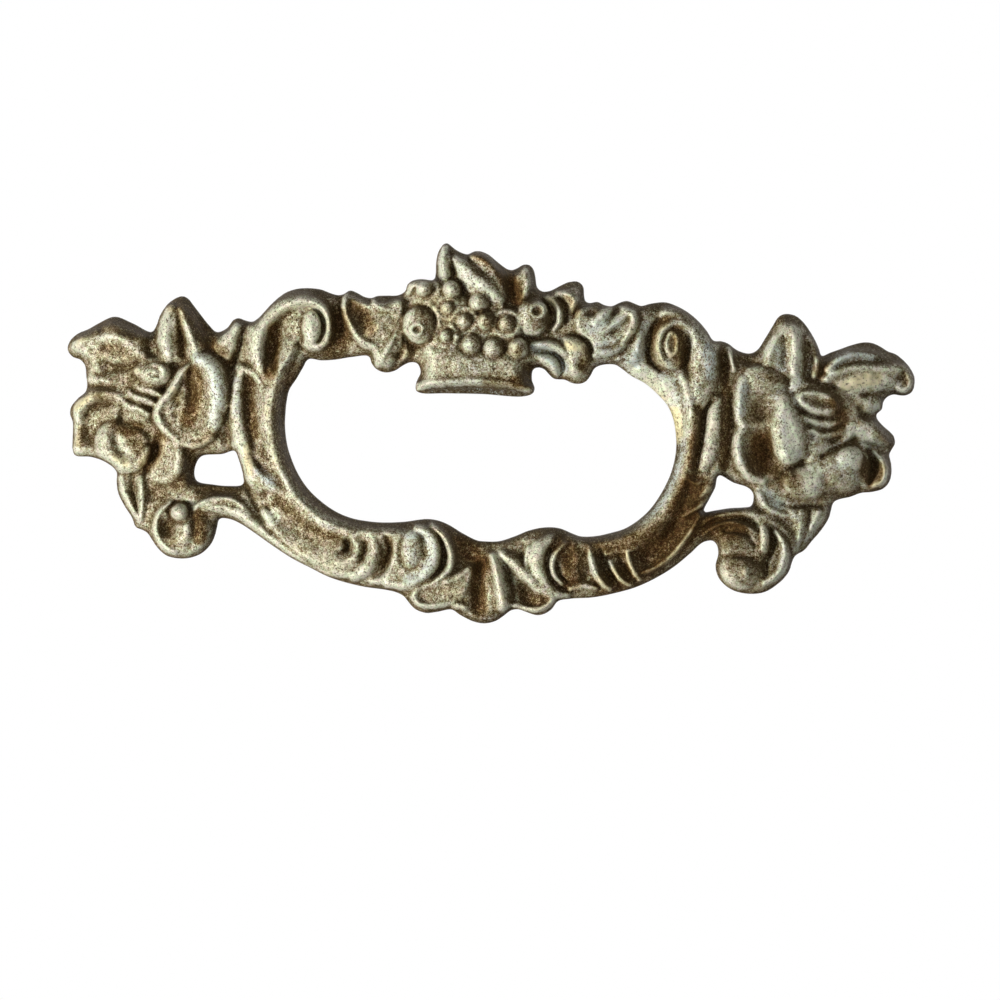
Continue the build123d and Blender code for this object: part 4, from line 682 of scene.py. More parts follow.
def carve_foot_scrolls(relief):
    """Rolled foot under each flower and the arm that runs from it into the frame."""
    ridge, fold, groove, swell = relief.ridge, relief.fold, relief.groove, relief.swell
    # Left arm and its groove against the frame
    fold(((-38.6, -14.8), (-36.8, -14.3), (-34.6, -14.2), (-32.5, -14.9), (-30.5, -16.3), (-28.5, -18),
          (-26.5, -19.6), (-24.5, -20.9), (-22.5, -21.9), (-20, -22.7)),
         (0.8, 1.2, 1.4, 1.4, 1.3, 1.2, 1.1, 1, 0.9, 0.8), (5, 5.4, 5.4, 5.3, 5.3, 5.3, 5.3, 5.2), 3.2)
    groove(((-31.7, -11), (-30.7, -13), (-29.5, -15), (-27.9, -17.1), (-26.1, -18.9), (-24, -20.5),
            (-22, -21.6), (-19.6, -22.4)), 0.3, (0.7, 0.7, 0.7, 0.6, 0.6, 0.5, 0.3))
    ridge(((-38.8, -15.2), (-38, -14.2), (-36.6, -13.4), (-35, -13.1), (-33.4, -13.2), (-32, -13.9),
           (-30.8, -15.2)), 0.35, (5.6, 5.8, 5.8, 5.7, 5.6, 5.4, 5), 3.4)
    groove(((-37.6, -14.6), (-36, -14), (-34.4, -13.9), (-33, -14.3)), 0.28, 0.4)
    swell((-35.6, -12.1), (3.8, 1), -0.9, 2)
    # Left foot: boss, curl round a hollow, and its bud
    relief.dome((-40.2, -17.6), (4.4, 4), 5.4, 2.8, 0, 0.45)
    swell((-41.8, -17.2), (1.7, 2.1), -1.7, 5)
    ridge(((-41.6, -13.9), (-43, -15.2), (-43.6, -16.9), (-43.3, -18.6), (-42.3, -20), (-40.8, -20.7)),
          (0.4, 0.5, 0.55, 0.6, 0.7, 0.6), (5, 5.4, 5.5, 5.5, 5.5, 5.3), 3.6)
    fold(((-39.7, -16.6), (-39.4, -17.8), (-39.8, -19), (-40.8, -19.5)), (0.9, 0.9, 0.7, 0.4),
         (5.7, 5.7, 5.5, 5.2), 4.4)
    groove(((-39, -14.4), (-38.5, -15.6), (-38.2, -17.2), (-38.4, -19), (-39.2, -20.4)),
           (0.4, 0.6, 0.7, 0.7, 0.5), (0.5, 0.7, 0.6, 0.5, 0.3))
    groove(oval((-40.4, -15.2), (1.5, 1.45)), 0.4, 0.9)
    relief.dome((-40.4, -15.2), (1.2, 1.15), 7, 5)
    # Right arm
    fold(((40, -12.6), (38.2, -12.6), (36.2, -12.1), (34.2, -12.2), (32, -12.8), (30.2, -14)),
         (0.7, 0.9, 1, 1, 1, 0.9), (4.5, 4.8, 4.9, 4.9, 4.8, 4.7), 3.2)
    ridge(((37.8, -15), (36.2, -14), (34.4, -13.6), (32.4, -14.1), (30.6, -15.3)),
          (0.25, 0.4, 0.4, 0.35, 0.25), (5.2, 5.4, 5.3, 5.1, 4.8), 3.6)
    groove(((37.6, -13.9), (36, -13.2), (34.2, -13), (32.4, -13.4), (31, -14.2)), 0.3, 0.7)
    fold(((38, -13.2), (39.8, -13.4), (41.4, -14.3), (42.7, -15.9), (43.3, -17.6)), (0.7, 0.9, 1, 0.9, 0.6),
         (4.5, 4.7, 4.7, 4.5, 4.2), 3)
    # Right foot: lower ball, upper folds and a crescent
    relief.dome((37.6, -18.3), (4.9, 4.6), 4.9, 2.6, 0, 0.45)
    relief.dome((35.4, -16.6), (2.7, 2.4), 5.3, 3.8, 10)
    relief.dome((36, -20), (3.1, 2.7), 5.8, 3.6, 20)
    ridge(((38.7, -14.2), (39, -15.6), (38.8, -17)), (0.6, 0.8, 0.6), (5.6, 6, 5.6), 3.8)
    groove(((39.9, -14.6), (40.1, -16), (39.9, -17.4), (39.2, -18.8), (39.4, -20.6)),
           (0.4, 0.6, 0.65, 0.7, 0.5), (0.9, 1.5, 1.6, 1.4, 0.8))
    ridge(((40.4, -14.6), (41.4, -15.8), (41.8, -17.4), (41.5, -19.2), (40.6, -20.6), (39.2, -21.6)),
          (0.5, 0.8, 0.95, 0.95, 0.8, 0.6), (5.3, 5.8, 5.9, 5.8, 5.5, 5), 3.6, 2, 0.9)
    groove(((33.6, -18.2), (35, -18.1), (36.8, -18.3), (38.2, -19)), (0.3, 0.4, 0.4, 0.3), 0.8)
    groove(((33.4, -14.8), (35, -14.8), (36.6, -15.4), (37.6, -16.6)), (0.25, 0.35, 0.4, 0.35), 0.7)
    relief.dome((36.6, -20.2), (0.8, 1), 6.3, 5, 10)


def carve_top_leaves(relief):
    """Leaves that spread from the basket along the top of the frame."""
    ridge, fold, groove, sheet, swell = relief.ridge, relief.fold, relief.groove, relief.sheet, relief.swell
    # Neck between the left volute and its leaf
    swell((-19.8, 11), (1.8, 5.4), -1.2)
    # Left leaf: thin rim round a dish, lobe below
    sheet(((-18.7, 15.1), (-19.1, 13), (-18.4, 11.2), (-17.4, 9.6), (-16, 8.4), (-14.4, 7.6), (-11.6, 8),
           (-10.6, 10), (-10.8, 12.6), (-11.2, 14.8), (-13.6, 14.7), (-15.6, 14.3), (-17.2, 14.8)), 5.2, 4.7,
          1.8, (0.08, -0.03), 0.2, 0.7)
    fold(((-19, 15.1), (-19.1, 13.2), (-18.5, 11.6), (-17.6, 10), (-16.4, 8.8), (-14.8, 8.2)),
         (0.4, 0.5, 0.6, 0.65, 0.75, 0.7), (5.4, 5.8, 5.9, 5.9, 5.8, 5.6), 4.2)
    swell((-16.6, 12.4), (1.5, 2.4), -0.4, 25)
    fold(((-16.2, 9.6), (-14.8, 10.6), (-13.4, 12)), (0.7, 0.9, 0.6), (5.2, 5.3, 5.2), 4.6)
    ridge(((-15.4, 14.6), (-14.9, 13.9), (-14, 13.4), (-12.4, 13.2)), (0.35, 0.45, 0.5, 0.4),
          (5.2, 5.5, 5.5, 5.2), 4.2)
    swell((-13.2, 14.4), (1.3, 0.6), -0.8)
    sheet(((-15.4, 7.8), (-15, 6.2), (-14.2, 5.3), (-13, 5.1), (-11.6, 5.6), (-10.2, 6.4), (-9.6, 7.8),
           (-11, 9.6), (-12.6, 9.6), (-14, 8.6)), 4.6, 5.2, 1.2, (-0.1, 0.02), 0.3, 0.8)
    ridge(((-14, 5.9), (-13.3, 7.2), (-12.6, 8.6), (-12, 10)), (0.6, 0.8, 0.7, 0.4), (5.2, 5.9, 6, 5.6), 4,
          2, 0.8, 0.35)
    groove(((-12.2, 5.6), (-11.6, 7), (-11, 8.4)), (0.6, 1, 0.6), (0.9, 1.3, 0.8))
    # Tall leaf above the basket
    sheet(((-6.8, 17.6), (-6.8, 20), (-6.5, 21.4), (-5.8, 22.2), (-5.2, 21.8), (-4.8, 20), (-4.6, 18),
           (-5.6, 16.8)), 4.6, 5.1, 0.9, (0, 0), 0.3, 0.7)
    ridge(((-5.9, 21.9), (-6.1, 20.2), (-5.8, 18.2)), (0.5, 0.75, 0.7), (5.2, 5.7, 5.6), 4)
    sheet(((-4.9, 20.9), (-3.6, 20.9), (-2.4, 20.8), (-1.2, 21.3), (0.2, 20.9), (1.6, 19.8), (3, 18.6),
           (3.8, 17), (3.2, 15.3), (1.4, 14.5), (0, 15.2), (-1.6, 16.7), (-3.4, 17.6), (-4.4, 18.6)), 4.6,
          5.5, 1.6, (-0.05, -0.1), 0.3, 0.8)
    fold(((-4.8, 20.5), (-3.4, 19.5), (-1.8, 18.1), (0, 16.7), (1.6, 15.2)), (0.6, 1.3, 1.7, 1.7, 1.2),
         (5.8, 6.3, 6.5, 6.5, 6.2), 5.2, -0.2)
    groove(((-5, 21.2), (-4.8, 19.8), (-4.2, 18.4)), (0.35, 0.45, 0.4), (1.2, 1.8, 1.4))
    fold(((-2, 21), (-0.6, 20.4), (0.8, 19.2)), (0.7, 0.9, 0.6), (5.5, 5.9, 5.7), 4.8)
    groove(((-2.6, 20.2), (-1.4, 19.5), (-0.4, 18.6)), (0.3, 0.45, 0.3), 0.5)
    swell((2.9, 17), (0.9, 2), -1.1, 10)
    # Leaf tips to the right of it
    sheet(((3.4, 18.6), (4, 19.1), (4.8, 19.7), (5.6, 19.6), (6.1, 18.6), (6.3, 17), (6.2, 15.6),
           (4.8, 14.8), (3.6, 16)), 4.4, 5.1, 1, (0.02, 0), 0.4, 0.7)
    ridge(((5.1, 19.2), (5.3, 18), (5.3, 16.6), (4.6, 15.2)), (0.5, 0.7, 0.7, 0.5), (5.4, 5.8, 5.8, 5.4), 4)
    sheet(((7, 15.8), (8.6, 16.4), (10.4, 17.2), (12, 17.6), (12.8, 16.8), (12.7, 15.4), (12, 13.6),
           (11, 12.6), (10, 13.6), (8.6, 15)), 4.4, 5, 1.2, (-0.02, 0), 0.4, 0.7)
    ridge(((9.6, 16.4), (11, 16.3), (11.9, 15.6), (11.6, 14.4)), (0.4, 0.6, 0.6, 0.35), 5.6, 4.2)
    groove(((9.7, 15.8), (10.5, 15.1), (10.9, 13.9), (10.8, 12.8)), (0.3, 0.45, 0.5, 0.5), 1.3)
    relief.flank(((8.5, 16.8), (9.8, 17.4), (11, 18), (12.3, 18.1), (13.1, 17)), 2, 1.6, 2)
    # Right leaf
    sheet(((12.2, 14.6), (13.2, 15), (14.8, 15.1), (15.8, 14.6), (17, 14.6), (18.4, 15.1), (19.6, 15),
           (20.6, 14), (20.7, 12.6), (19.7, 11), (18.8, 9.6), (17.4, 8.6), (15.4, 8.2), (13.6, 9.2),
           (12.2, 10.8), (11.6, 12.6)), 4.9, 5.3, 1.2, (-0.03, -0.02), 0.4, 0.8)
    ridge(((18.4, 14.6), (19.7, 14), (20.1, 12.9), (19.5, 11.6), (18.6, 10.6), (17.4, 9.8)),
          (0.5, 0.65, 0.75, 0.75, 0.7, 0.5), (5.6, 6.1, 6.3, 6.2, 6, 5.6), 4.4)
    ridge(((18.9, 13.8), (17.8, 12.8), (16.4, 11.8), (14.8, 10.8)), (0.35, 0.4, 0.4, 0.3), (6, 6, 5.8, 5.5),
          4.6)
    groove(((19.2, 13.2), (18.3, 12.2), (17, 11.2)), (0.3, 0.4, 0.25), 0.7)
    groove(((18.2, 14.6), (17.3, 13.9), (16.4, 12.9)), (0.5, 0.65, 0.35), (1, 1.4, 0.6))
    ridge(((16.6, 14.4), (15.6, 13.6), (14.6, 12.4)), (0.6, 0.75, 0.5), (5.6, 5.9, 5.5), 4.6)
    swell((14.4, 14), (1.3, 0.9), -1.3, 20)
    ridge(((14.8, 8.3), (16.4, 8.6), (17.8, 9), (18.8, 9.8)), (0.5, 0.6, 0.6, 0.4), 5.4, 4)
    groove(((15.2, 9.2), (16.6, 9.4), (17.8, 9.9), (18.9, 11)), (0.3, 0.35, 0.35, 0.25), 0.8)
    # Curls between the basket and the right leaf
    sheet(((10.2, 10.6), (11.6, 11.2), (13.2, 10.8), (14.4, 9.8), (14.6, 8.2), (14.2, 6.4), (13.6, 5.2),
           (12.6, 4.8), (11.4, 5.2), (10.8, 6.6), (10.4, 8.6)), 4.6, 5.7, 1.6, (-0.08, 0.04), 0.4, 0.8)
    swell((12.9, 7), (1.1, 1.5), -0.7)
    groove(((11.4, 10.9), (13, 10.6), (14.3, 9.4), (14.5, 7.8)), (0.3, 0.45, 0.5, 0.4), (0.5, 1.1, 1.3, 0.9))
    relief.dome((12.2, 9.4), (1.6, 1), 6.2, 4.6, -15)
    ridge(((6.4, 9.2), (8, 9.4), (9.6, 9.2), (11, 8.2)), (0.5, 0.7, 0.7, 0.5), (5.6, 6.1, 6.1, 5.6), 4.4)
    sheet(((6.9, 7.9), (7.3, 7), (8, 6.4), (8.8, 5.9), (9.6, 5.3), (10.2, 5.3), (10.4, 6.4), (9.9, 7.5),
           (8.9, 8.2), (7.8, 8.3)), 4.9, 5.1, 0.9, (-0.02, 0), 0.3, 0.5)
    groove(((6.9, 8.4), (8.4, 8.5), (9.8, 8), (10.6, 6.9), (10.7, 5.8), (10.4, 4.9)),
           (0.25, 0.3, 0.35, 0.4, 0.35, 0.3), (0.7, 1, 1.3, 1.4, 1.2, 0.8))


def carve_basket(relief):
    """Basket, its lip, the berries and the two larger fruits heaped on it."""
    ridge, fold, groove, swell = relief.ridge, relief.fold, relief.groove, relief.swell
    # Heap under the fruit, then the wall of the basket
    relief.sheet(((-10.4, 15.9), (-10, 16.9), (-8.4, 17.3), (-5.4, 17.6), (-3, 16.4), (-0.4, 15.4),
                  (2, 14.8), (4.4, 14.6), (5.6, 14), (5.4, 10.4), (6.4, 8.8), (6.6, 6.6), (-8.4, 6.6),
                  (-9.2, 8.6), (-11, 10), (-11, 13)), 4.8, 5.6, 2, (0, -0.02), 0.2, 1.2)
    relief.sheet(((-8.4, 9), (-8.1, 6.6), (-8.3, 4.6), (-8.8, 3.2), (-4, 3), (0, 3), (5, 3), (6.6, 3.4),
                  (6.2, 5), (6.2, 7), (6.4, 9), (3, 9.2), (-4, 9.2)), 5.2, 6.2, 2.4, (-0.01, 0.02), 0.2, 1.2)
    swell((5.4, 6.4), (1.6, 2.6), -0.6)
    swell((-5.4, 6), (2.4, 2), -0.35)
    fold(((-8.8, 3), (-6.8, 3.6), (-4, 3.9), (-1, 4.1), (3, 3.9), (6.6, 3.2)),
         (0.6, 0.8, 0.8, 0.7, 0.6, 0.6), (6, 6.5, 6.8, 6.7, 6.3, 5.8), 5.2)
    relief.flank(((-8.3, 2.2), (-5, 2.3), (0, 2.4), (5.5, 2.3), (6.8, 2.8)), 2.2, 1.9, 2.6)
    # Large fruit on the left with its eye
    groove(oval((-9, 11.3), (2.4, 2.7), 10), 0.5, 0.4)
    relief.dome((-9, 11.3), (2.2, 2.5), 7.2, 5.6, 10)
    ridge(((-7.2, 13.9), (-6.5, 12.8), (-6.3, 11.4), (-6.6, 9.9)), 0.3, 6.2, 5.2)
    relief.ring((-9.2, 10.7), (0.8, 0.75), 0.32, 7.6, 6.4)
    swell((-9.2, 10.7), (0.55, 0.55), -0.4)
    # Right fruit, its eye and the rind beside it
    relief.sheet(((4.2, 14.6), (5.4, 15.5), (7, 15.6), (8.3, 14.6), (8.8, 13), (8.3, 11.2), (7, 10.2),
                  (5.4, 10.4), (4.4, 11.6), (4, 13.2)), 5.4, 6.7, 1.5, (0, 0), 0.6, 0.6)
    relief.ring((6.95, 13.9), (0.95, 0.85), 0.4, 7.5, 6.4)
    swell((6.4, 11.4), (1.6, 1.1), -0.5)
    ridge(((8.2, 15.6), (9.2, 15), (9.9, 13.8), (9.9, 12.6), (9.3, 11.6)), (0.35, 0.5, 0.6, 0.55, 0.35),
          (5.6, 6.1, 6.2, 6.1, 5.6), 4.2)
    groove(((8, 15.3), (8.9, 14.5), (9.3, 13.3), (9.2, 12.1), (8.6, 11.2)), 0.32, (0.6, 1, 1.1, 1, 0.6))
    # Berries, each in its own cup
    berries = ((-8.5, 16.2, 1.1), (-4.7, 16.3, 1.25), (-5.2, 13.8, 1), (-2.9, 12.1, 1.15), (-1, 14.7, 1.35),
               (0, 12.2, 1.35), (2.8, 12, 1.25), (-5.2, 10, 1.05), (-3.8, 10, 0.55), (-1.8, 9, 1.4),
               (1.2, 8.7, 1.4), (4.5, 8.7, 1.45))
    for x, z, radius in berries:
        groove(oval((x, z), (radius, radius)), 0.5, 0.5)
        relief.dome((x, z), (radius, radius), 7.1, 5.2)
        # Painted shade on the right of each berry and a painted highlight at its upper left
        relief.stain(((x + 0.5 * radius, z + 0.2 * radius), (x + 0.3 * radius, z - 0.5 * radius)),
                     0.7 * radius, -0.4, -0.1)
        relief.stain(((x - 0.3 * radius, z + 0.3 * radius), (x - 0.4 * radius, z)), 0.4 * radius, 0.2, 0)
    for x, z, radius in ((-5.2, 13.8, 1.4), (-2.9, 12.1, 1.65), (-5.2, 10, 1.45), (2.8, 12, 1.7)):
        ridge(oval((x, z), (radius, radius)), 0.4, 6, 5.4)
    ridge(((-10.6, 15.8), (-10, 16.8), (-8.6, 17.2), (-7, 17), (-6.4, 16.2)), 0.5, (5.2, 5.7, 5.7, 5.6, 5.2),
          4.4)
    swell((1.4, 14.4), (1.6, 0.8), -0.5)
    relief.stain(((-6.5, 14.5), (-2.5, 13.5), (2, 11), (3.5, 9)), 4.5, 0.1, 0.3)


# Stains and painted light and shade, as the reach of a stroke, how light and how warm it makes the metal, and
# its points
STAINS_AND_LIGHT = (
    # Pale plane under the right volute, partly cream metal and partly a painted highlight where it faces the
    # light, and the brown hollow of the lower left bar
    (1.7, 0.25, 0.1, (20, 7.8), (22.6, 6.2), (25, 3.4)),
    (1.8, -0.3, 0.6, (-27, -13.6), (-23.6, -17), (-19.4, -18.6)),
    # Yellow gilding left on smooth faces
    (0.9, 0.3, 1, (-31.6, -6), (-31, -9.4)),
    (1.2, 0.3, 1.2, (26, 1), (26.7, -2.4)),
    (1.6, 0.3, 0.5, (22.6, 5), (24.6, 3.4)),
    (1.1, 0.2, 1, (11.4, 9.6), (12.8, 9.4)),
    (0.9, 0.2, 0.8, (27.6, 5), (27.8, 3.6)),
    (1, 0.2, 0.7, (-55.4, -1.4), (-54, -0.4)),
    (1, 0.2, 0.7, (-49.4, -8), (-48, -8.8)),
    (0.9, 0.3, 0.9, (-41.6, 0), (-41.9, 1.2)),
    # Brown dish of the round left petal, and the cool face of the upper right bar
    (1.9, -0.3, 0.4, (-47.4, -4.4), (-46.6, -6.4)),
    (0.9, 0, -0.7, (30.2, 10), (30.6, 6)),
    # Lip of the basket, dull at its right end, and the slate underside with pale streaks
    (0.9, -0.5, 0.5, (0.5, 4.1), (3.5, 4), (6.4, 3.5)),
    (0.7, -0.35, -0.7, (-7, 2.6), (0, 2.7), (5.6, 2.6)),
    (0.3, 0.5, -0.6, (-2.5, 2.8), (-0.5, 3)),
    (0.3, 0.5, -0.6, (1.2, 2.7), (3, 2.7)),
    # Brown back of the tall leaf, the leaf tips beside it and the right foot
    (1.3, -0.35, 0.6, (-1.6, 21.3), (1, 19.7), (3.2, 17.2)),
    (1, -0.3, 0, (5.2, 18.6), (6, 16.6)),
    (1, -0.3, 0.8, (3.6, 16.4), (4.2, 15.2)),
    (4, -0.1, 0.1, (30, -20), (36, -17), (40, -15)),
    (0.8, -0.3, 0.3, (-1.6, 21.3), (1, 19.7), (3.2, 17.2)),
    # Olive fruit on the left, with painted shade at its upper right and painted highlights at its left and on
    # its ring
    (1.3, -0.35, -0.2, (-8.6, 13.2), (-7.6, 11.6), (-7.6, 10)),
    (0.4, 0.35, 0, (-10.3, 12.4), (-10.6, 11.4)),
    (0.3, 0.3, 0.3, (-9.9, 10.9), (-9.3, 11.5)),
    # Cream plane under the right volute, partly cream metal and partly a painted highlight where it faces the
    # light, with its slate streak, and the brown outer line of the right bar
    (1.4, 0.35, 0.3, (20.5, 6.4), (22.8, 4.6), (24.4, 2.2)),
    (0.35, -0.7, -0.9, (17.4, 7.3), (19, 7.8), (21, 6.8)),
    (0.7, -0.3, 0.5, (22.5, -20.8), (26, -18.6), (29.2, -14.8)),
    # Right flower: petals lightened as painted highlights, darker places in the cup and below the roll, slate
    # leaf with painted glints
    (1.5, 0.3, 0.3, (40.6, 2.8), (42, 0.4), (42.6, -2.4)),
    (0.8, 0.2, -0.2, (35.2, 6), (34.8, 2), (35.2, -1)),
    (1.3, 0.35, 0.2, (49.6, -3.6), (50.6, -4.4)),
    (1.2, 0.35, 0.5, (43.4, -6.4), (44.8, -7.8)),
    (1.2, -0.3, -0.3, (45.8, -8.6), (48, -8.8)),
    (1.8, -0.25, 0.4, (37.8, -2.6), (39.2, -5.6)),
    (1.1, -0.35, -0.7, (48, 9.6), (51, 10.5), (54, 9.6)),
    (0.35, 0.7, -0.3, (48.2, 10.5), (49.6, 11.1)),
    (0.35, 0.7, -0.3, (51.2, 10.9), (52.4, 10.7)),
    (1.3, 0.2, 0.5, (49, 5.6), (51.6, 6.4), (53.4, 6.6)),
    # Lower border of the large left petal, and a painted highlight on the middle rib of the shell
    (1.1, -0.35, 0.4, (-35.4, -1.5), (-36.6, -4.6), (-38.6, -6.2)),
    (0.8, 0.3, 0.4, (2.6, -18), (3.2, -21), (4, -25)),
    # Left bar: pale outer face, painted highlights on the volute and the cool crest, slate leaf tip
    (1, 0.2, 0, (-28.6, 12.6), (-30.6, 9), (-30.8, 6)),
    (0.9, 0.3, 0.1, (-23.6, 11.6), (-23.4, 9)),
    (0.6, 0.2, -0.4, (-27.6, 1), (-27.8, -3), (-26.6, -7.4)),
    (1, 0.05, -1, (-29.8, -9), (-28, -10.8)),
    (0.5, 0.2, -0.4, (-22.6, -15), (-19.6, -16.6)),
    # Broad cool, warm, pale and dark places all over the casting
    (6, 0.02, -0.3, (38, 8), (42, 2), (46, -4)),
    (5, 0, -0.35, (46, 8), (52, 8), (55, 2), (52, -4)),
    (3.6, 0.1, -0.6, (17, 8), (22, 7), (27, 4)),
    (3, 0, -0.4, (27, 14), (31, 9)),
    (5, 0.05, -0.3, (-6, 20), (-2, 17), (3, 12), (-2, 7)),
    (3, 0.12, -0.3, (7, 9), (12, 9), (17, 12)),
    (2.4, -0.4, -0.5, (-22, 6), (-20, 6.6)),
    (1.8, -0.5, -0.4, (-3, -28), (1, -28.4), (5, -27.6)),
    (4, 0, -0.4, (36, -12), (44, -13), (42, -18)),
    (2.4, -0.6, 0.5, (30.4, -13.6), (32.6, -15), (35, -14.6)),
    (1.7, -0.3, 0.5, (28.6, -3), (28.2, -8), (26.8, -12)),
    (1.6, -0.2, 0, (-54.6, 0.4), (-52, -0.8)),
    (1.8, -0.25, 0, (47.6, 3), (48.8, 1.4)),
    (1.5, 0.25, 0, (-22.8, 12.6), (-22.4, 10.4)),
    (1.4, 0.4, 0, (44.6, 1), (44.8, -1.6)),
    (1.8, 0.4, 0, (50, -3.6), (51.4, -4.6)),
    (1.5, 0.3, 0, (7.6, -18), (9.6, -20), (9, -22)),
    (1.4, -0.15, 0.5, (-28.4, 2), (-28.2, -4), (-27, -8)),
    # Left flower, with painted shade along its top edges, in the cup and beside its petals, and painted
    # highlights on its crests and on the bulge of the cup
    (1.8, -0.35, 0.7, (-55, 8.6), (-52, 9.9), (-49, 9.6), (-46.5, 8.5)),
    (2.2, -0.2, 0.3, (-51, 6), (-48.5, 4.5), (-48, 2.5)),
    (1.4, -0.4, 0.9, (-42.3, 12.9), (-41, 12.9), (-39.8, 11.4), (-38.3, 9.6), (-37.3, 8.2)),
    (0.8, -0.1, 0.5, (-41.4, 11), (-41.2, 8.5), (-41, 6)),
    (1.6, -0.1, 0.7, (-38.5, 9.3), (-37.5, 7.5)),
    (1.2, -0.4, 0.6, (-36.2, 7), (-35.2, 6.3), (-34.6, 5.5)),
    (1.6, -0.5, 1, (-39.4, 3.6), (-38.9, 1.5), (-39.2, -0.8), (-39.8, -2.6)),
    (1.6, -0.3, 0.9, (-43.6, -5.5), (-44, -7.4), (-45.2, -9)),
    (1, -0.5, 0.5, (-54.2, -4.6), (-54.6, -6.4)),
    (1.4, -0.35, 0.2, (-52.6, 0.6), (-50.5, 0.4)),
    (1.1, -0.45, 0.5, (-49.8, -3.6), (-48, -4.4), (-46.5, -4)),
    (1.7, -0.4, 0.6, (-39.4, -8), (-39.4, -10), (-40.8, -11.2)),
    (1.4, -0.3, 0.4, (-43.8, -12.4), (-43.2, -12.9)),
    (0.9, 0.4, -0.4, (-42.5, 10.5), (-42.8, 8), (-42.6, 6.4)),
    (1, 0.5, -0.2, (-33.6, 9.5), (-33.8, 7.5)),
    (1, 0.4, 0, (-43.2, 3.8), (-42.8, 2.6)),
    (1.5, 0.5, -0.9, (-38.5, 6), (-36.8, 5), (-35.9, 2.5), (-35.6, -0.5), (-36, -3)),
    (1.3, 0.5, 0, (-49, -5.8), (-47.8, -7.8)),
    (1.2, 0.1, -0.2, (-50.5, 8.4), (-52.5, 7.4), (-54.4, 6)),
    # Left foot and arm
    (1.4, -0.6, 0.9, (-37.8, -15.6), (-37.4, -18.6)),
    (1, -0.2, 0.3, (-42, -17), (-41.2, -19)),
    (0.9, 0.4, -0.1, (-40.4, -13.8), (-38, -14), (-36, -13.6)),
    (0.6, 0.4, 0, (-39.4, -15.8), (-39.3, -18)),
    (1.4, 0.4, -0.2, (-31.6, -14.4), (-29.5, -16), (-27.5, -15.2)),
    (0.9, -0.3, 0.3, (-38, -12), (-35, -12), (-32.6, -12.2)),
    # Left bar of the frame, with painted shade on its inner flank, its top edge and the neck beside the
    # volute, and painted highlights on its ridges, its volute and its lower band
    (1.1, -0.35, 0.8, (-31.7, 2.8), (-31.4, 0), (-31, -2.5), (-30.6, -4.4)),
    (1.4, -0.35, 1, (-28.6, 10), (-28.5, 7), (-28.9, 4.2)),
    (1.4, -0.25, 0.8, (-25.6, 5), (-26.9, 1.5), (-27, -3), (-25.8, -7.5), (-23.2, -11.5), (-19.6, -14.2),
     (-14, -15.6)),
    (1.2, -0.3, 0.2, (-31, 12), (-28.5, 14.6), (-25, 15.6), (-21.5, 15.3)),
    (1.9, -0.8, 0.8, (-19.6, 12), (-19.3, 9.5), (-20.4, 7.2)),
    (1.6, 0.6, -0.2, (-25.2, 13.3), (-23.4, 12.4), (-22.8, 10.2), (-23.2, 8.6)),
    (0.9, 0.5, -0.3, (-30, 9.6), (-30.1, 6.6)),
    (1, 0.4, -0.15, (-33.1, 0), (-32.6, -3.6), (-31.8, -7), (-30.8, -9.4)),
    (0.8, 0.2, -0.6, (-33.3, 3), (-33.2, -1.6)),
    (0.7, 0.25, -0.15, (-28.7, 2), (-28.8, -3), (-27.8, -7), (-25.5, -11), (-22, -14.2), (-18, -15.8)),
    (1.3, 0.25, -0.35, (-27.4, -14.8), (-24.6, -17), (-21.5, -18.6), (-18.8, -19.2)),
    (1, -0.3, 0.1, (-29.6, -6.6), (-28.4, -8.6)),
    # Top leaves and basket
    (1.5, -0.2, 0.9, (-18, 13.6), (-16.6, 12.2), (-15.6, 10.6)),
    (1.4, -0.4, 0.4, (-11, 7), (-10, 8)),
    (1.1, 0.5, 0, (-5.8, 19), (-5.2, 16.4)),
    (1, 0.4, -0.1, (-3.4, 18.8), (-1, 17), (0.8, 15.8)),
    (1.7, -0.6, 1, (2.4, 18.8), (3.5, 17), (4, 15.6)),
    (1.2, -0.25, 0.3, (-3, 21.2), (0, 20.9), (2, 19.8)),
    (1.6, -0.5, -0.3, (6.8, 14.2), (7.4, 12.2)),
    (0.9, 0.5, 0.7, (8.5, 15.6), (9, 13.4)),
    (0.9, 0.5, 0, (5.4, 11.2), (4.8, 10)),
    (1.3, -0.2, 0.7, (11, 15.4), (12, 14)),
    (1.3, 0.45, -1, (7, 9), (9, 7.8), (10.6, 6.2)),
    (0.8, 0.3, 0.5, (8.4, 10), (10.4, 9.6), (12, 8.8)),
    (1.1, -0.4, 0.7, (13.8, 8.6), (13.4, 6.4)),
    (1.4, -0.5, 0.8, (4.6, 4.3), (5.9, 4.6), (6.2, 6)),
    (0.8, -0.4, -0.3, (-5, 3.6), (0, 3.4), (4.5, 3.4)),
    (1.4, 0.15, 0.1, (-7.5, 8.4), (-7, 6), (-3, 6.6)),
    (1.2, -0.4, 0.3, (3.2, 9.2), (4.4, 8.4)),
    (1.4, -0.35, 0.4, (-0.6, 12.8), (1.2, 12), (2.6, 12)),
    (1.4, 0.4, -0.4, (14.4, 12), (16.5, 13.2), (18, 12.8)),
    (1.1, -0.2, 0.1, (17.6, 9.8), (18.4, 7.8)),
    # Right volute and bar, with painted highlights on faces turned to the light and painted shade on the top
    # edge, the outer edge and the groove beside the crest
    (1.2, 0.6, -0.9, (21.6, 12.4), (21.3, 9.6), (20.6, 7.8)),
    (1, -0.4, 0.8, (24.4, 13.2), (23, 12), (22.8, 9.6), (24, 7.2)),
    (1.2, -0.45, 0.9, (26, 12), (26.6, 10), (26.2, 7.8)),
    (0.8, 0.1, 0.6, (25.3, 11.6), (25.3, 8.8)),
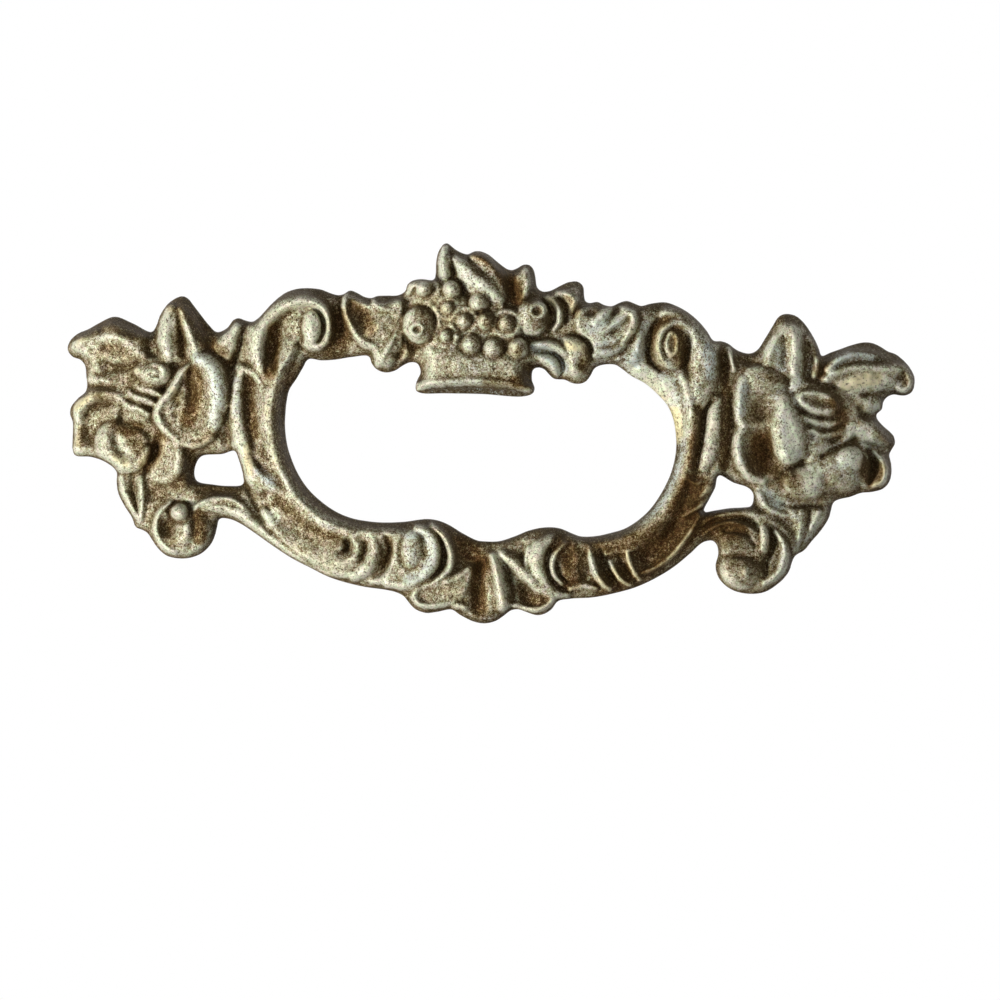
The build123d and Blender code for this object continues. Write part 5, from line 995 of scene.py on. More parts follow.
    (1.7, 0.35, -0.1, (20.5, 6.6), (23, 5), (25.2, 3), (26.4, 0.4), (26.9, -2)),
    (1, 0.1, -0.9, (27.3, -3), (26.4, -7), (24.6, -11), (21.6, -14.2), (18, -15.9)),
    (1.2, -0.35, 0.1, (23, 15), (27, 14.8), (30.4, 12.2)),
    (1, 0.15, -0.4, (28.6, 13), (30.8, 9.6), (30.9, 6)),
    (0.9, -0.2, 0.3, (27.3, 9), (27.8, 5.6)),
    (1, -0.5, 0.7, (32.3, 9.4), (32.8, 5), (33, 0), (33, -6)),
    (0.9, 0.2, 0.1, (31.4, 3), (31.3, 0), (31, -4.6)),
    (1, -0.45, 0.7, (29.2, 1.6), (29, -3), (28.7, -6)),
    (1.4, -0.15, 1, (28.4, -8.4), (30.6, -8.4), (29.6, -11)),
    # Dark brown of the lower right
    (2.6, -0.5, 0.9, (16, -17.4), (20, -17.2), (24, -15.8), (27, -13), (28.8, -9.6)),
    (2.6, -0.6, 1, (17.5, -22.6), (22, -20.6), (26, -17.6), (29.4, -14.2), (32, -13.4), (35, -13.6)),
    (2.3, -0.6, 1, (11.6, -17.6), (13, -19.6), (13, -22.4)),
    (0.6, 0.6, -0.2, (15.5, -18.6), (15.9, -21), (17.2, -23)),
    (0.5, 0.4, 0, (18.4, -19.6), (19.6, -21.8)),
    (0.5, 0.5, -0.2, (20.5, -18), (21.5, -21)),
    (0.5, 0.35, -0.1, (30, -12.6), (28.2, -16), (26, -18.8)),
    # Lower scrolls and shell, with painted shade in the hollow beside the shell and in its flute, and painted
    # highlights on the ribs and rims
    (2.2, -0.5, 1, (-3.6, -15.9), (-1.8, -17.6), (-0.6, -19.2), (0.4, -20.4)),
    (1.6, -0.5, 1, (0.5, -20.6), (0.6, -24), (0.8, -26.6)),
    (1.1, 0.5, -0.2, (2.8, -19.4), (3.6, -21.4), (4.2, -24)),
    (0.9, 0.5, -0.2, (7.9, -18), (7.1, -20), (7.8, -21.6)),
    (1.2, -0.4, 0.6, (6, -23.8), (7.6, -25.2), (9.4, -25)),
    (1.1, 0.4, -0.7, (-9.5, -16.8), (-7, -17), (-6, -19.4), (-6.8, -22), (-9, -23)),
    (1.2, 0.1, -0.5, (-8.8, -17.4), (-8.7, -20.6)),
    (1.4, 0.25, 0, (-20, -20.8), (-16, -22), (-12, -23.2)),
    (0.9, -0.4, 0.5, (-11.9, -17.8), (-11.6, -19.4), (-12.2, -21)),
    # Right flower, with painted highlights on its ridges and bulges and painted shade in its hollows and along
    # its top edges
    (1.3, 0.5, -0.15, (42.8, 13), (42.4, 10.5), (42.3, 7.5), (42.3, 5.6)),
    (1.2, 0.15, -0.6, (40, 10), (40.2, 7.8)),
    (1.2, -0.35, 0.5, (41, 6), (39, 6.2)),
    (1.1, -0.3, -0.2, (43.8, 11.8), (44, 9), (43.6, 7)),
    (1.4, -0.5, 1, (45.4, 10), (46.4, 9.2), (45.6, 7.2)),
    (1, -0.3, 0.1, (39, 14), (41, 14.6), (43.4, 13.8)),
    (2.2, 0.35, -0.3, (41, 3.4), (41.8, 1), (42.2, -1.4), (42, -3.8)),
    (1.7, -0.6, 0.3, (40.4, -6.8), (42.6, -7.6)),
    (1.8, -0.1, 0.5, (37.4, 2.6), (37.4, 0.8)),
    (2.2, -0.2, 1, (38, -2.6), (37.6, -5.6)),
    (0.9, 0.35, -0.6, (35.3, 4.6), (35.2, 1.4)),
    (0.9, 0.2, -0.5, (35.2, -2.6), (35.6, -5)),
    (1.3, -0.3, 0.3, (33.8, 8), (36, 8.6)),
    (0.9, 0.4, -0.4, (47, 7.4), (48.4, 8.9), (50.4, 9.5), (52.4, 9.4)),
    (1.7, 0.5, 0.4, (49.2, 5.4), (51.5, 6.3), (53.8, 6.6)),
    (1, -0.4, 0.3, (50, 10.9), (54, 10.4), (57, 8.8), (57.8, 6)),
    (1.2, -0.5, 0.8, (47.8, 3.4), (48.8, 1.2), (48.2, -1)),
    (1.2, 0.5, -0.2, (50.4, -0.4), (52.4, -1.6), (51.6, -3)),
    (1.4, -0.6, 0.5, (54.4, -0.2), (56, -2)),
    (1.4, -0.6, 0.8, (52, -5), (53.4, -7.4), (54.4, -5.2)),
    (1.3, 0.4, 0, (44.6, -5), (45.8, -7), (45.2, -9)),
    (1.2, 0.4, -0.2, (49, -5), (51, -3.6)),
    (1, -0.3, 0, (49, -9), (51.4, -8.4)),
    (1.3, 0.45, -0.6, (38.4, -9.2), (40.6, -11)),
    (3.2, -0.2, 0, (34.6, -18), (37.6, -20.4), (41, -17.6)),
    (0.9, 0.5, 0, (38.8, -14.2), (39.2, -17)),
    (1.1, -0.4, 0.2, (37.8, -18.6), (38.6, -19.6)),
    (0.9, 0.2, 0, (41.8, -16.6), (41.4, -19.4)),
)


def paint_stains_and_light(relief):
    """Stained, rubbed and bloomed places, and painted light and shade."""
    for reach, light, warm, *points in STAINS_AND_LIGHT:
        relief.stain(points, reach, light, warm)


# Settings

# What every colour setting shares
COLOUR = {"subtype": 'COLOR', "min": 0, "max": 1}


class PullShape(bpy.types.PropertyGroup):
    """Sizes of the casting and its posts, in millimetres"""
    facet: FloatProperty(name="Facet", description="Width of a facet of the carving", default=0.195)
    bow_radius: FloatProperty(name="Bow Radius", description="Radius of the plate's hollow back",
                              default=144.63)
    bow_rise: FloatProperty(name="Bow Rise", description="How far the back stands off the drawer front",
                            default=17.0)
    post_spacing: FloatProperty(name="Post Spacing", description="Distance between the posts' centres",
                                default=88.9)
    post_radius: FloatProperty(name="Post Radius", description="Radius of a post", default=4.0)
    bore_radius: FloatProperty(name="Bore Radius", description="Radius of the bore before it's tapped",
                               default=1.73)
    bore_depth: FloatProperty(name="Bore Depth", description="Depth of the tapped bore", default=9.0)
    thread_pitch: FloatProperty(name="Thread Pitch", description="Distance between threads", default=0.794)


class PullFinish(bpy.types.PropertyGroup):
    """Colours of the worn brass, with those of its painted shade and highlights"""
    # Cream is rubbed metal and also painted highlight, laid wherever the tone is brightest
    cream: FloatVectorProperty(name="Cream", description="Rubbed crests",
                               default=(0.88, 0.87, 0.71), **COLOUR)
    straw: FloatVectorProperty(name="Straw", description="Old gilding", default=(0.48, 0.44, 0.30), **COLOUR)
    tan: FloatVectorProperty(name="Tan", description="Middle tone", default=(0.29, 0.208, 0.113), **COLOUR)
    # Brown is dirt in the hollows and also painted shade, laid wherever the tone is darkest
    brown: FloatVectorProperty(name="Brown", description="Dirt in the hollows",
                               default=(0.054, 0.030, 0.007), **COLOUR)
    rust: FloatVectorProperty(name="Rust", description="Brown stain, laid over the other colours",
                              default=(0.85, 0.64, 0.38), **COLOUR)
    gilt: FloatVectorProperty(name="Gilt", description="Yellow patches of gilding",
                              default=(0.82, 0.71, 0.38), **COLOUR)
    rosy: FloatVectorProperty(name="Rosy", description="Pink end of the drift in hue",
                              default=(1, 0.88, 0.95), **COLOUR)
    green: FloatVectorProperty(name="Green", description="Green end of the drift in hue",
                               default=(0.87, 1, 0.88), **COLOUR)
    slate: FloatVectorProperty(name="Slate", description="Cool grey of the dark metal",
                               default=(0.12, 0.14, 0.135), **COLOUR)
    # Blue white on bright cool places, partly bloom on the metal and partly a painted reflection
    bloom: FloatVectorProperty(name="Bloom", description="Blue white bloom on the crests",
                               default=(0.57, 0.69, 0.72), **COLOUR)
    # Painted shade: dark olive laid on flanks that turn away from the light and along the outline
    shade_olive: FloatVectorProperty(name="Olive", description="Dark metal of the edges",
                               default=(0.058, 0.041, 0.017), **COLOUR)


class PullStage(bpy.types.PropertyGroup):
    """Lights, floor and camera"""
    key_power: FloatProperty(name="Key Power", description="Soft light from the lower left", default=13.5,
                             unit='POWER')
    fill_power: FloatProperty(name="Fill Power", description="Weak light from the upper right", default=0.8,
                              unit='POWER')
    ambient: FloatProperty(name="Ambient", description="Strength of the light from all round", default=0.25)
    camera_distance: FloatProperty(name="Camera Distance", description="From the camera to the pull",
                                   default=1.5, unit='LENGTH')
    frame_width: FloatProperty(name="Frame Width", description="Width of the picture at the pull",
                               default=0.1357, unit='LENGTH')
    aim: FloatVectorProperty(name="Aim", description="Place at the middle of the picture", subtype='XYZ',
                             default=(2.92 * MM, -14 * MM, -11.83 * MM))
    roll: FloatProperty(name="Roll", description="Turn of the camera about its own line of sight",
                        default=radians(2.3), unit='ROTATION')
    floor_height: FloatProperty(name="Floor Height", description="Height of the floor", default=-0.45,
                                unit='LENGTH')


# Casting

def select_only(obj):
    """Make an object the only one selected, and active."""
    bpy.ops.object.select_all(action='DESELECT')
    obj.select_set(True)
    bpy.context.view_layer.objects.active = obj


def close_seams(distance):
    """Merge the vertices of the active object that lie closer than a distance, and turn its faces out."""
    bpy.ops.object.mode_set(mode='EDIT')
    bpy.ops.mesh.select_all(action='SELECT')
    bpy.ops.mesh.remove_doubles(threshold=distance)
    bpy.ops.mesh.normals_make_consistent(inside=False)
    bpy.ops.object.mode_set(mode='OBJECT')


def read_places(mesh):
    """Vertex places as rows of three numbers."""
    places = np.empty(3 * len(mesh.vertices), np.float32)
    mesh.vertices.foreach_get("co", places)
    return places.reshape(-1, 3).astype(float)


def write_places(mesh, places):
    mesh.vertices.foreach_set("co", places.astype(np.float32).ravel())
    mesh.update()


def read_mark(mesh, name):
    """One number for each vertex, from a named attribute."""
    values = np.empty(len(mesh.vertices), np.float32)
    mesh.attributes[name].data.foreach_get("value", values)
    return values.astype(float)


def write_mark(mesh, name, values):
    mark = mesh.attributes.get(name) or mesh.attributes.new(name, 'FLOAT', 'POINT')
    mark.data.foreach_set("value", values.astype(np.float32))


def neighbours(mesh):
    """The two ends of every edge, and how many edges meet at each vertex."""
    ends = np.empty(2 * len(mesh.edges), np.int32)
    mesh.edges.foreach_get("vertices", ends)
    ends = ends.reshape(-1, 2)
    return ends, np.bincount(ends.ravel(), minlength=len(mesh.vertices))


def soften(values, ends, counts, rounds):
    """Move values half way to the mean of the neighbouring vertices, round after round."""
    for _ in range(rounds):
        total = np.bincount(ends[:, 0], values[ends[:, 1]], len(counts))
        total += np.bincount(ends[:, 1], values[ends[:, 0]], len(counts))
        values = values + 0.5 * (total / np.maximum(counts, 1) - values)
    return values


def rounded(share):
    """Quarter circle from 0 to 1."""
    return np.sqrt(1 - (1 - np.clip(share, 0, 1)) ** 2)


# Thickness of the blank in millimetres, and the step between the points that mark its outline
BLANK = 1.0
EDGE_STEP = 0.06

# Rounded ground that the ornament is raised on: its height at the outline, how far it rises and how soon
GROUND, GROUND_RISE, GROUND_WIDTH = 2.4, 1.6, 2.5


class PULL_OT_cut_blank(bpy.types.Operator):
    """Cut the thin blank to the outline of the pull"""
    bl_idname = "pull.cut_blank"
    bl_label = "Cut Blank"

    def execute(self, context):
        # Millimetres until the blank is cast
        curve = bpy.data.curves.new(CASTING, 'CURVE')
        curve.dimensions = '2D'
        curve.fill_mode = 'BOTH'
        curve.extrude = BLANK / 2
        edge_points = []
        for outline in (SILHOUETTE, HAND_OPENING, LEFT_WINDOW, RIGHT_WINDOW):
            line = smooth_line(outline, closed=True)[:-1]
            edge_points.extend(smooth_line(outline, closed=True, step=EDGE_STEP))
            spline = curve.splines.new('POLY')
            spline.points.add(len(line) - 1)
            spline.points.foreach_set("co", np.insert(line, 2, ((0,), (1,)), axis=1).ravel())
            spline.use_cyclic_u = True
        blank = bpy.data.objects.new(CASTING, curve)
        context.scene.collection.objects.link(blank)
        blank.rotation_euler.x = pi / 2
        blank.location.y = -curve.extrude
        select_only(blank)
        bpy.ops.object.convert(target='MESH')
        bpy.ops.object.transform_apply(location=True, rotation=True, scale=True)
        close_seams(0.001)
        remesh = blank.modifiers.new("Remesh", 'REMESH')
        remesh.mode = 'VOXEL'
        remesh.voxel_size = context.scene.pull_shape.facet
        bpy.ops.object.modifier_apply(modifier=remesh.name)
        mesh = blank.data
        places = read_places(mesh)
        tree = KDTree(len(edge_points))
        for k, (x, z) in enumerate(edge_points):
            tree.insert((x, 0, z), k)
        tree.balance()
        edge = np.array([tree.find((x, 0, z))[2] for x, _, z in places])
        write_mark(mesh, "share", np.clip(-places[:, 1] / BLANK, 0, 1))
        write_mark(mesh, "edge", edge)
        ground = GROUND + GROUND_RISE * rounded(edge / GROUND_WIDTH)
        for name, values in zip(MARKS, (ground, 1.0, 2.0, 0.0, 0.0)):
            write_mark(mesh, name, np.zeros(len(places)) + values)
        return {'FINISHED'}


# Share of the way from back to front above which a vertex of the blank is carved
FRONT = 0.02


class Raise:
    """Raises one group of ornament on the blank."""

    def execute(self, context):
        blank = bpy.data.objects.get(CASTING)
        if blank is None:
            raise RuntimeError("cut the blank before ornament is raised on it")
        mesh = blank.data
        front = np.flatnonzero(read_mark(mesh, "share") > FRONT)
        marks = [read_mark(mesh, name)[front] for name in MARKS]
        relief = Relief(read_places(mesh)[front][:, (0, 2)], marks)
        for carve in self.carvers:
            carve(relief)
        for name, changed in zip(MARKS, marks):
            values = read_mark(mesh, name)
            values[front] = changed
            write_mark(mesh, name, values)
        return {'FINISHED'}


class PULL_OT_raise_frame(Raise, bpy.types.Operator):
    """Raise the bars, channels and volutes of the frame"""
    bl_idname = "pull.raise_frame"
    bl_label = "Raise Frame"
    carvers = (carve_frame,)


class PULL_OT_raise_foot_scrolls(Raise, bpy.types.Operator):
    """Raise the rolled feet and their arms"""
    bl_idname = "pull.raise_foot_scrolls"
    bl_label = "Raise Foot Scrolls"
    carvers = (carve_foot_scrolls,)


class PULL_OT_raise_lower_scrolls(Raise, bpy.types.Operator):
    """Raise the crescents and bosses of the bottom bar"""
    bl_idname = "pull.raise_lower_scrolls"
    bl_label = "Raise Lower Scrolls"
    carvers = (carve_lower_scrolls,)


class PULL_OT_raise_shell(Raise, bpy.types.Operator):
    """Raise the fluted shell"""
    bl_idname = "pull.raise_shell"
    bl_label = "Raise Shell"
    carvers = (carve_shell,)


class PULL_OT_raise_flowers(Raise, bpy.types.Operator):
    """Raise the flowers and leaves at both ends"""
    bl_idname = "pull.raise_flowers"
    bl_label = "Raise Flowers"
    carvers = (carve_left_flower, carve_right_flower)


class PULL_OT_raise_basket(Raise, bpy.types.Operator):
    """Raise the basket, its fruit and the leaves round it"""
    bl_idname = "pull.raise_basket"
    bl_label = "Raise Basket"
    carvers = (carve_top_leaves, carve_basket)


class PULL_OT_stain_and_light(Raise, bpy.types.Operator):
    """Mark where the metal is rubbed, stained or bloomed, and paint light and shade on it"""
    bl_idname = "pull.stain"
    bl_label = "Stain"
    carvers = (paint_stains_and_light,)


# Rounds of softening, and the share of the detail finer than the broad form that the casting keeps
CAST_ROUNDS = 2
BROAD_ROUNDS = 24
DETAIL_KEPT = 0.88

# Unevenness of the cast surface, as heights in millimetres, how fine it is and which row of the noise
UNEVEN = ((0.16, 0.4, 0), (0.14, 1.0, 9), (0.06, 2.4, 4))

# Rounds of softening that the marks of the finish are measured against
FINE_ROUNDS = 14
WIDE_ROUNDS = 120
TURN_ROUNDS = 6

# Direction on the front view, away from the light at the lower left, towards which flanks are painted in
# shade, and the slope that counts in full
SHADED_SIDE = (0.55, 0.85)
STEEP = 1.2

# Squared length in square millimetres below which an edge counts as that long, so no slope runs wild
SHORTEST = 0.002

# Share of the back's facets taken away, then the share of all facets kept
BACK_THINNED = 0.93
FACETS_KEPT = 0.87


class PULL_OT_cast(bpy.types.Operator):
    """Round the edges, soften the carving and bow it over the posts"""
    bl_idname = "pull.cast"
    bl_label = "Cast"

    def execute(self, context):
        shape = context.scene.pull_shape
        casting = bpy.data.objects[CASTING]
        mesh = casting.data
        places, share, edge = read_places(mesh), read_mark(mesh, "share"), read_mark(mesh, "edge")
        ends, counts = neighbours(mesh)
        heights = read_mark(mesh, "height")
        low = np.minimum(read_mark(mesh, "edge_height"), heights)
        heights = low + (heights - low) * rounded(edge / read_mark(mesh, "edge_width"))
        heights = soften(heights, ends, counts, CAST_ROUNDS)
        broad = soften(heights, ends, counts, BROAD_ROUNDS)
        heights = broad + DETAIL_KEPT * (heights - broad)
        uneven = [sum(height * noise.noise(Vector((x, row, z)) * scale) for height, scale, row in UNEVEN)
                  for x, _, z in places]
        heights += np.array(uneven) * np.clip(edge, 0, 1)
        # Height above the local mean at two widths; from these the finish darkens hollows and brightens
        # crests, partly as dirt and wear and partly as painted shade and highlight
        write_mark(mesh, "fine", heights - soften(heights, ends, counts, FINE_ROUNDS))
        write_mark(mesh, "wide", heights - soften(heights, ends, counts, WIDE_ROUNDS))
        # How far each place turns up and to the right, away from the light, for the painted shade of the
        # finish
        turned = np.zeros(len(places))
        step = places[ends[:, 1]][:, (0, 2)] - places[ends[:, 0]][:, (0, 2)]
        rise = (heights[ends[:, 1]] - heights[ends[:, 0]])[:, None] * step
        rise /= np.maximum((step * step).sum(1), SHORTEST)[:, None]
        for end in (0, 1):
            turned -= np.bincount(ends[:, end], rise @ SHADED_SIDE, len(places))
        shaded_flank = soften(turned / 2, ends, counts, TURN_ROUNDS) / STEEP
        write_mark(mesh, "shaded_flank", np.clip(shaded_flank, -0.5, 1))
        back = shape.bow_radius - shape.bow_rise - np.sqrt(shape.bow_radius**2 - places[:, 0] ** 2)
        places[:, 1] = back - share * heights
        write_places(mesh, places * MM)
        for name in MARKS[:3]:
            mesh.attributes.remove(mesh.attributes[name])
        # The smooth back inside its rim needs few facets
        hidden = np.flatnonzero((share < 0.1) & (edge > 1.0))
        group = casting.vertex_groups.new(name="Back")
        group.add([int(k) for k in hidden], 1.0, 'REPLACE')
        simplify = casting.modifiers.new("Decimate", 'DECIMATE')
        simplify.vertex_group = group.name
        simplify.ratio = 1 - BACK_THINNED * len(hidden) / len(places)
        thin = casting.modifiers.new("Thin", 'DECIMATE')
        thin.ratio = FACETS_KEPT
        select_only(casting)
        bpy.ops.object.modifier_apply(modifier=simplify.name)
        bpy.ops.object.modifier_apply(modifier=thin.name)
        bpy.ops.object.shade_smooth()
        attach(casting, "root")
        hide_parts("pull_casting")
        return {'FINISHED'}


class PULL_OT_turn_posts(bpy.types.Operator):
    """Turn the two tapped posts behind the flowers"""
    bl_idname = "pull.turn_posts"
    bl_label = "Turn Posts"

    def execute(self, context):
        shape = context.scene.pull_shape
        radius, bore, depth = shape.post_radius, shape.bore_radius, shape.bore_depth
        root = 10.9
        thread = 0.3
        # Profile as radius and distance in front of the drawer, from the post's root to the end of its bore
        profile = [(0, root), (radius + 0.7, root), (radius + 0.5, root - 0.9), (radius + 0.12, root - 1.3),
                   (radius, root - 1.8), (radius, 0.35), (radius - 0.12, 0.1), (radius - 0.35, 0),
                   (bore + thread + 0.35, 0), (bore + thread, 0.3)]
        rows = np.arange(0.4, depth - 0.3, 0.1)
        profile += [(bore, row) for row in rows]
        profile += [(bore * 0.9, depth - 0.25), (0, depth)]
        mesh = bpy.data.meshes.new(POSTS)
        mesh.from_pydata([(r * MM, -y * MM, 0) for r, y in profile],
                         [(k, k + 1) for k in range(len(profile) - 1)], [])
        posts = bpy.data.objects.new(POSTS, mesh)
        context.scene.collection.objects.link(posts)
        select_only(posts)
        bpy.ops.object.mode_set(mode='EDIT')
        bpy.ops.mesh.select_all(action='SELECT')
        bpy.ops.mesh.spin(steps=48, angle=2 * pi, center=(0, 0, 0), axis=(0, 1, 0))
        bpy.ops.object.mode_set(mode='OBJECT')
        close_seams(0.001 * MM)
        # Cut the thread into the wall of the bore
        places = read_places(mesh) / MM
        out = np.hypot(places[:, 0], places[:, 2])
        wall = (np.abs(out - bore) < 0.01) & (places[:, 1] < -0.35) & (places[:, 1] > -depth + 0.3)
        turn = np.arctan2(places[:, 2], places[:, 0]) / (2 * pi)
        along = (places[:, 1] / shape.thread_pitch + turn) % 1
        scale = 1 + np.where(wall, thread * (1 - np.abs(2 * along - 1)) / bore, 0)
        places[:, 0] *= scale
        places[:, 2] *= scale
        places[:, 0] -= shape.post_spacing / 2
        write_places(mesh, places * MM)
        bpy.ops.object.mode_set(mode='EDIT')
        bpy.ops.mesh.select_all(action='SELECT')
        bpy.ops.mesh.duplicate()
        bpy.ops.transform.translate(value=(shape.post_spacing * MM, 0, 0))
        bpy.ops.object.mode_set(mode='OBJECT')
        bpy.ops.object.shade_smooth_by_angle(angle=radians(40))
        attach(posts, "root")
        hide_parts("pull_casting")
        return {'FINISHED'}


# Finish

class Value:
    """Socket of a node tree that can be reckoned with like a number."""

    def __init__(self, tree, socket):
        self.tree = tree
        self.socket = socket

    def reckon(self, operation, *others, clamp=False):
        node = self.tree.nodes.new('ShaderNodeMath')
        node.operation = operation
        node.use_clamp = clamp
        for slot, value in zip(node.inputs, (self, *others)):
            join(self.tree, slot, value)
        return Value(self.tree, node.outputs[0])

    def __add__(self, other):
        return self.reckon('ADD', other)

    def __sub__(self, other):
        return self.reckon('SUBTRACT', other)

    def __mul__(self, other):
        return self.reckon('MULTIPLY', other)

    def __truediv__(self, other):
        return self.reckon('DIVIDE', other)

    def __neg__(self):
        return self * -1

    def __rsub__(self, other):
        return -self + other

    def clip(self):
        return self.reckon('ADD', 0, clamp=True)

    def over(self, low, high):
        """0 where the value is low, 1 where it's high, straight between."""
        return ((self - low) / (high - low)).clip()


def join(tree, slot, value):
    """Set a socket to a plain value, or link it to another."""
    if isinstance(value, Value):
        tree.links.new(value.socket, slot)
    else:
        slot.default_value = value


class Shader:
    """Builds the nodes of a material."""

    def __init__(self, tree):
        self.tree = tree
        tree.nodes.clear()

    def node(self, kind, settings=None, output=0, **inputs):
        node = self.tree.nodes.new(kind)
        for name, setting in (settings or {}).items():
            setattr(node, name, setting)
        for name, value in inputs.items():
            join(self.tree, node.inputs[name.replace("_", " ")], value)
        return Value(self.tree, node.outputs[output])

    def show(self, surface, kind='ShaderNodeOutputMaterial'):
        join(self.tree, self.tree.nodes.new(kind).inputs["Surface"], surface)

    def mix(self, factor, low, high, kind='MIX'):
        """Mix of two colours."""
        node = self.tree.nodes.new('ShaderNodeMix')
        node.data_type = 'RGBA'
        node.blend_type = kind
        node.clamp_factor = True
        # The sockets for colours follow those for numbers and vectors
        for slot, value in ((node.inputs[0], factor), (node.inputs[6], low), (node.inputs[7], high)):
            join(self.tree, slot, value)
        return Value(self.tree, node.outputs[2])

    def mark(self, name):
        """Number kept for each vertex of the mesh."""
        return self.node('ShaderNodeAttribute', {"attribute_name": name}, "Fac")

    def noise(self, place, scale, detail, rough):
        """Noise whose features are about 1/scale millimetres wide."""
        return self.node('ShaderNodeTexNoise', Vector=place, Scale=scale, Detail=detail, Roughness=rough)


def rgba(colour):
    return (*colour, 1.0)


class PULL_OT_finish_brass(bpy.types.Operator):
    """Give the casting its worn gilding, bloom and dirt, with painted shade and highlights"""
    bl_idname = "pull.finish_brass"
    bl_label = "Finish Brass"

    def execute(self, context):
        colours = context.scene.pull_finish
        material = bpy.data.materials.new("Aged Brass")
        material.use_nodes = True
        make = Shader(material.node_tree)
        metres = make.node('ShaderNodeTexCoord', output="Object")
        place = make.node('ShaderNodeVectorMath', {"operation": 'SCALE'}, Vector=metres, Scale=1 / MM)
        fine, wide = make.mark("fine"), make.mark("wide")
        cloud = make.noise(place, 0.22, 4, 0.6)
        patch = make.noise(place, 0.55, 5, 0.65)
        tint = make.noise(place, 1.3, 4, 0.7)
        grain = make.noise(place, 2.5, 5, 0.7)
        sand = make.noise(place, 6.0, 3, 0.75)
        # Tone from dark hollows to bright crests, partly dirt and wear and partly painted shade and highlight,
        # raised or lowered by the strokes' stains and painted light, with painted shade on flanks turned away
        # from the light and along the outline
        light, warm, shaded_flank = make.mark("light"), make.mark("warm"), make.mark("shaded_flank").clip()
        # Painted shade along the outline of the pull
        outline_shade = make.mark("edge").over(0.7, 0.0)
        crest = fine.over(-0.32, 0.55) * 1.3 - 0.48
        tone = crest + wide * 0.15 + light - shaded_flank * 0.45 - outline_shade * 0.35 + (patch - 0.5) * 1.1 + 0.54
        # Speckle, strongest in patches and on flanks, weaker where bright or warm and at the rubbed right end
        rubbed = make.node('ShaderNodeSeparateXYZ', Vector=place, output="X").over(30, 44) * 0.35
        smooth = 1.15 - tone.clip() * 0.5 - warm * 0.4 - rubbed
        coarse = ((patch.over(0.2, 0.55) + shaded_flank * 0.6 + 0.3) * smooth).clip()
        speckle = ((grain - 0.5) * 2.3 + (sand - 0.5) * 3.0) * coarse
        tone = (tone.over(-0.05, 1.05) * 0.92 + speckle + 0.05).clip()
        # Brown, tan, straw and cream from the darkest tone to the brightest
        colour = make.mix(tone.over(0.0, 0.34), rgba(colours.brown), rgba(colours.tan))
        colour = make.mix(tone.over(0.34, 0.66), colour, rgba(colours.straw))
        colour = make.mix(tone.over(0.66, 1.0), colour, rgba(colours.cream))
        # Drift of the hue from rosy to green, in patches and in specks
        drift = ((patch - 0.5) * -1.2 + (tint - 0.5) * 3.0 + (sand - 0.5) * 1.5 + 0.5).clip()
        drift = make.mix(drift, rgba(colours.rosy), rgba(colours.green))
        colour = make.mix(1.0, colour, drift, 'MULTIPLY')
        # Brown stain and yellow gilding where the metal is warm; where it's cool, slate in dark places and
        # blue white in bright ones, partly bloom and partly a painted reflection of the white surroundings
        brown = (warm + (tint - 0.5) * 1.5 + (cloud - 0.5) * 1.4).over(0.1, 1.0) * (1.0 - tone * 0.8)
        colour = make.mix(brown, colour, make.mix(1.0, colour, rgba(colours.rust), 'MULTIPLY'))
        gilt = (warm + (cloud - 0.5) * 2.0 + (patch - 0.5) * 1.2).over(0.1, 0.9) * tone.over(0.45, 0.9)
        colour = make.mix(gilt * 0.6, colour, rgba(colours.gilt))
        cool = ((0.5 - tint) * 1.8 + (0.5 - cloud) * 1.0 - warm - shaded_flank * 0.5).over(0.15, 1.0)
        cool = cool * grain.over(0.3, 0.6) * tone.over(-0.3, 0.5)
        bloom = make.mix(tone.over(0.3, 0.8), rgba(colours.slate), rgba(colours.bloom))
        colour = make.mix(cool * 0.65, colour, bloom)
        # Painted shade in dark olive on flanks that turn up and right, away from the light, and along the
        # outline, broken up by patches
        rim = (shaded_flank + outline_shade * 0.3 + (patch - 0.5) * 0.8).over(0.2, 0.9) * (1.0 - tone * 0.7)
        colour = make.mix(rim * 0.7, colour, rgba(colours.shade_olive))
        # Pits full of dirt
        pits = make.noise(place, 3.0, 2, 0.6).over(0.43, 0.34) * (1.0 - tone * 0.3)
        colour = make.mix(pits, colour, rgba(colours.brown))
        # Bright places are smoother, and the grain and the pits are felt as well as seen
        rough = 0.66 - tone * 0.2 - rim * 0.12 + (sand - 0.5) * 0.2
        relief = grain * 0.6 + sand * 0.55 - pits * 0.6
        normal = make.node('ShaderNodeBump', Strength=1.0, Distance=0.09 * MM, Height=relief)
        brass = make.node('ShaderNodeBsdfPrincipled', Base_Color=colour, Roughness=rough.clip(),
                          Specular_IOR_Level=0.12, Metallic=(tone * 0.15 + 0.1).clip(), Normal=normal)
        make.show(brass)
        for name in (CASTING, POSTS):
            bpy.data.objects[name].data.materials.append(material)
        return {'FINISHED'}


# Stage

def add_lamp(name, place, target, size, power, colour):
    """Square area lamp turned to a place."""
    lamp = bpy.data.lights.new(name, 'AREA')
    lamp.size = size
    lamp.energy = power
    lamp.color = colour
    obj = bpy.data.objects.new(name, lamp)
    obj.location = place
    obj.rotation_euler = (Vector(target) - Vector(place)).to_track_quat('-Z', 'Y').to_euler()
    obj.visible_camera = False
    bpy.context.scene.collection.objects.link(obj)


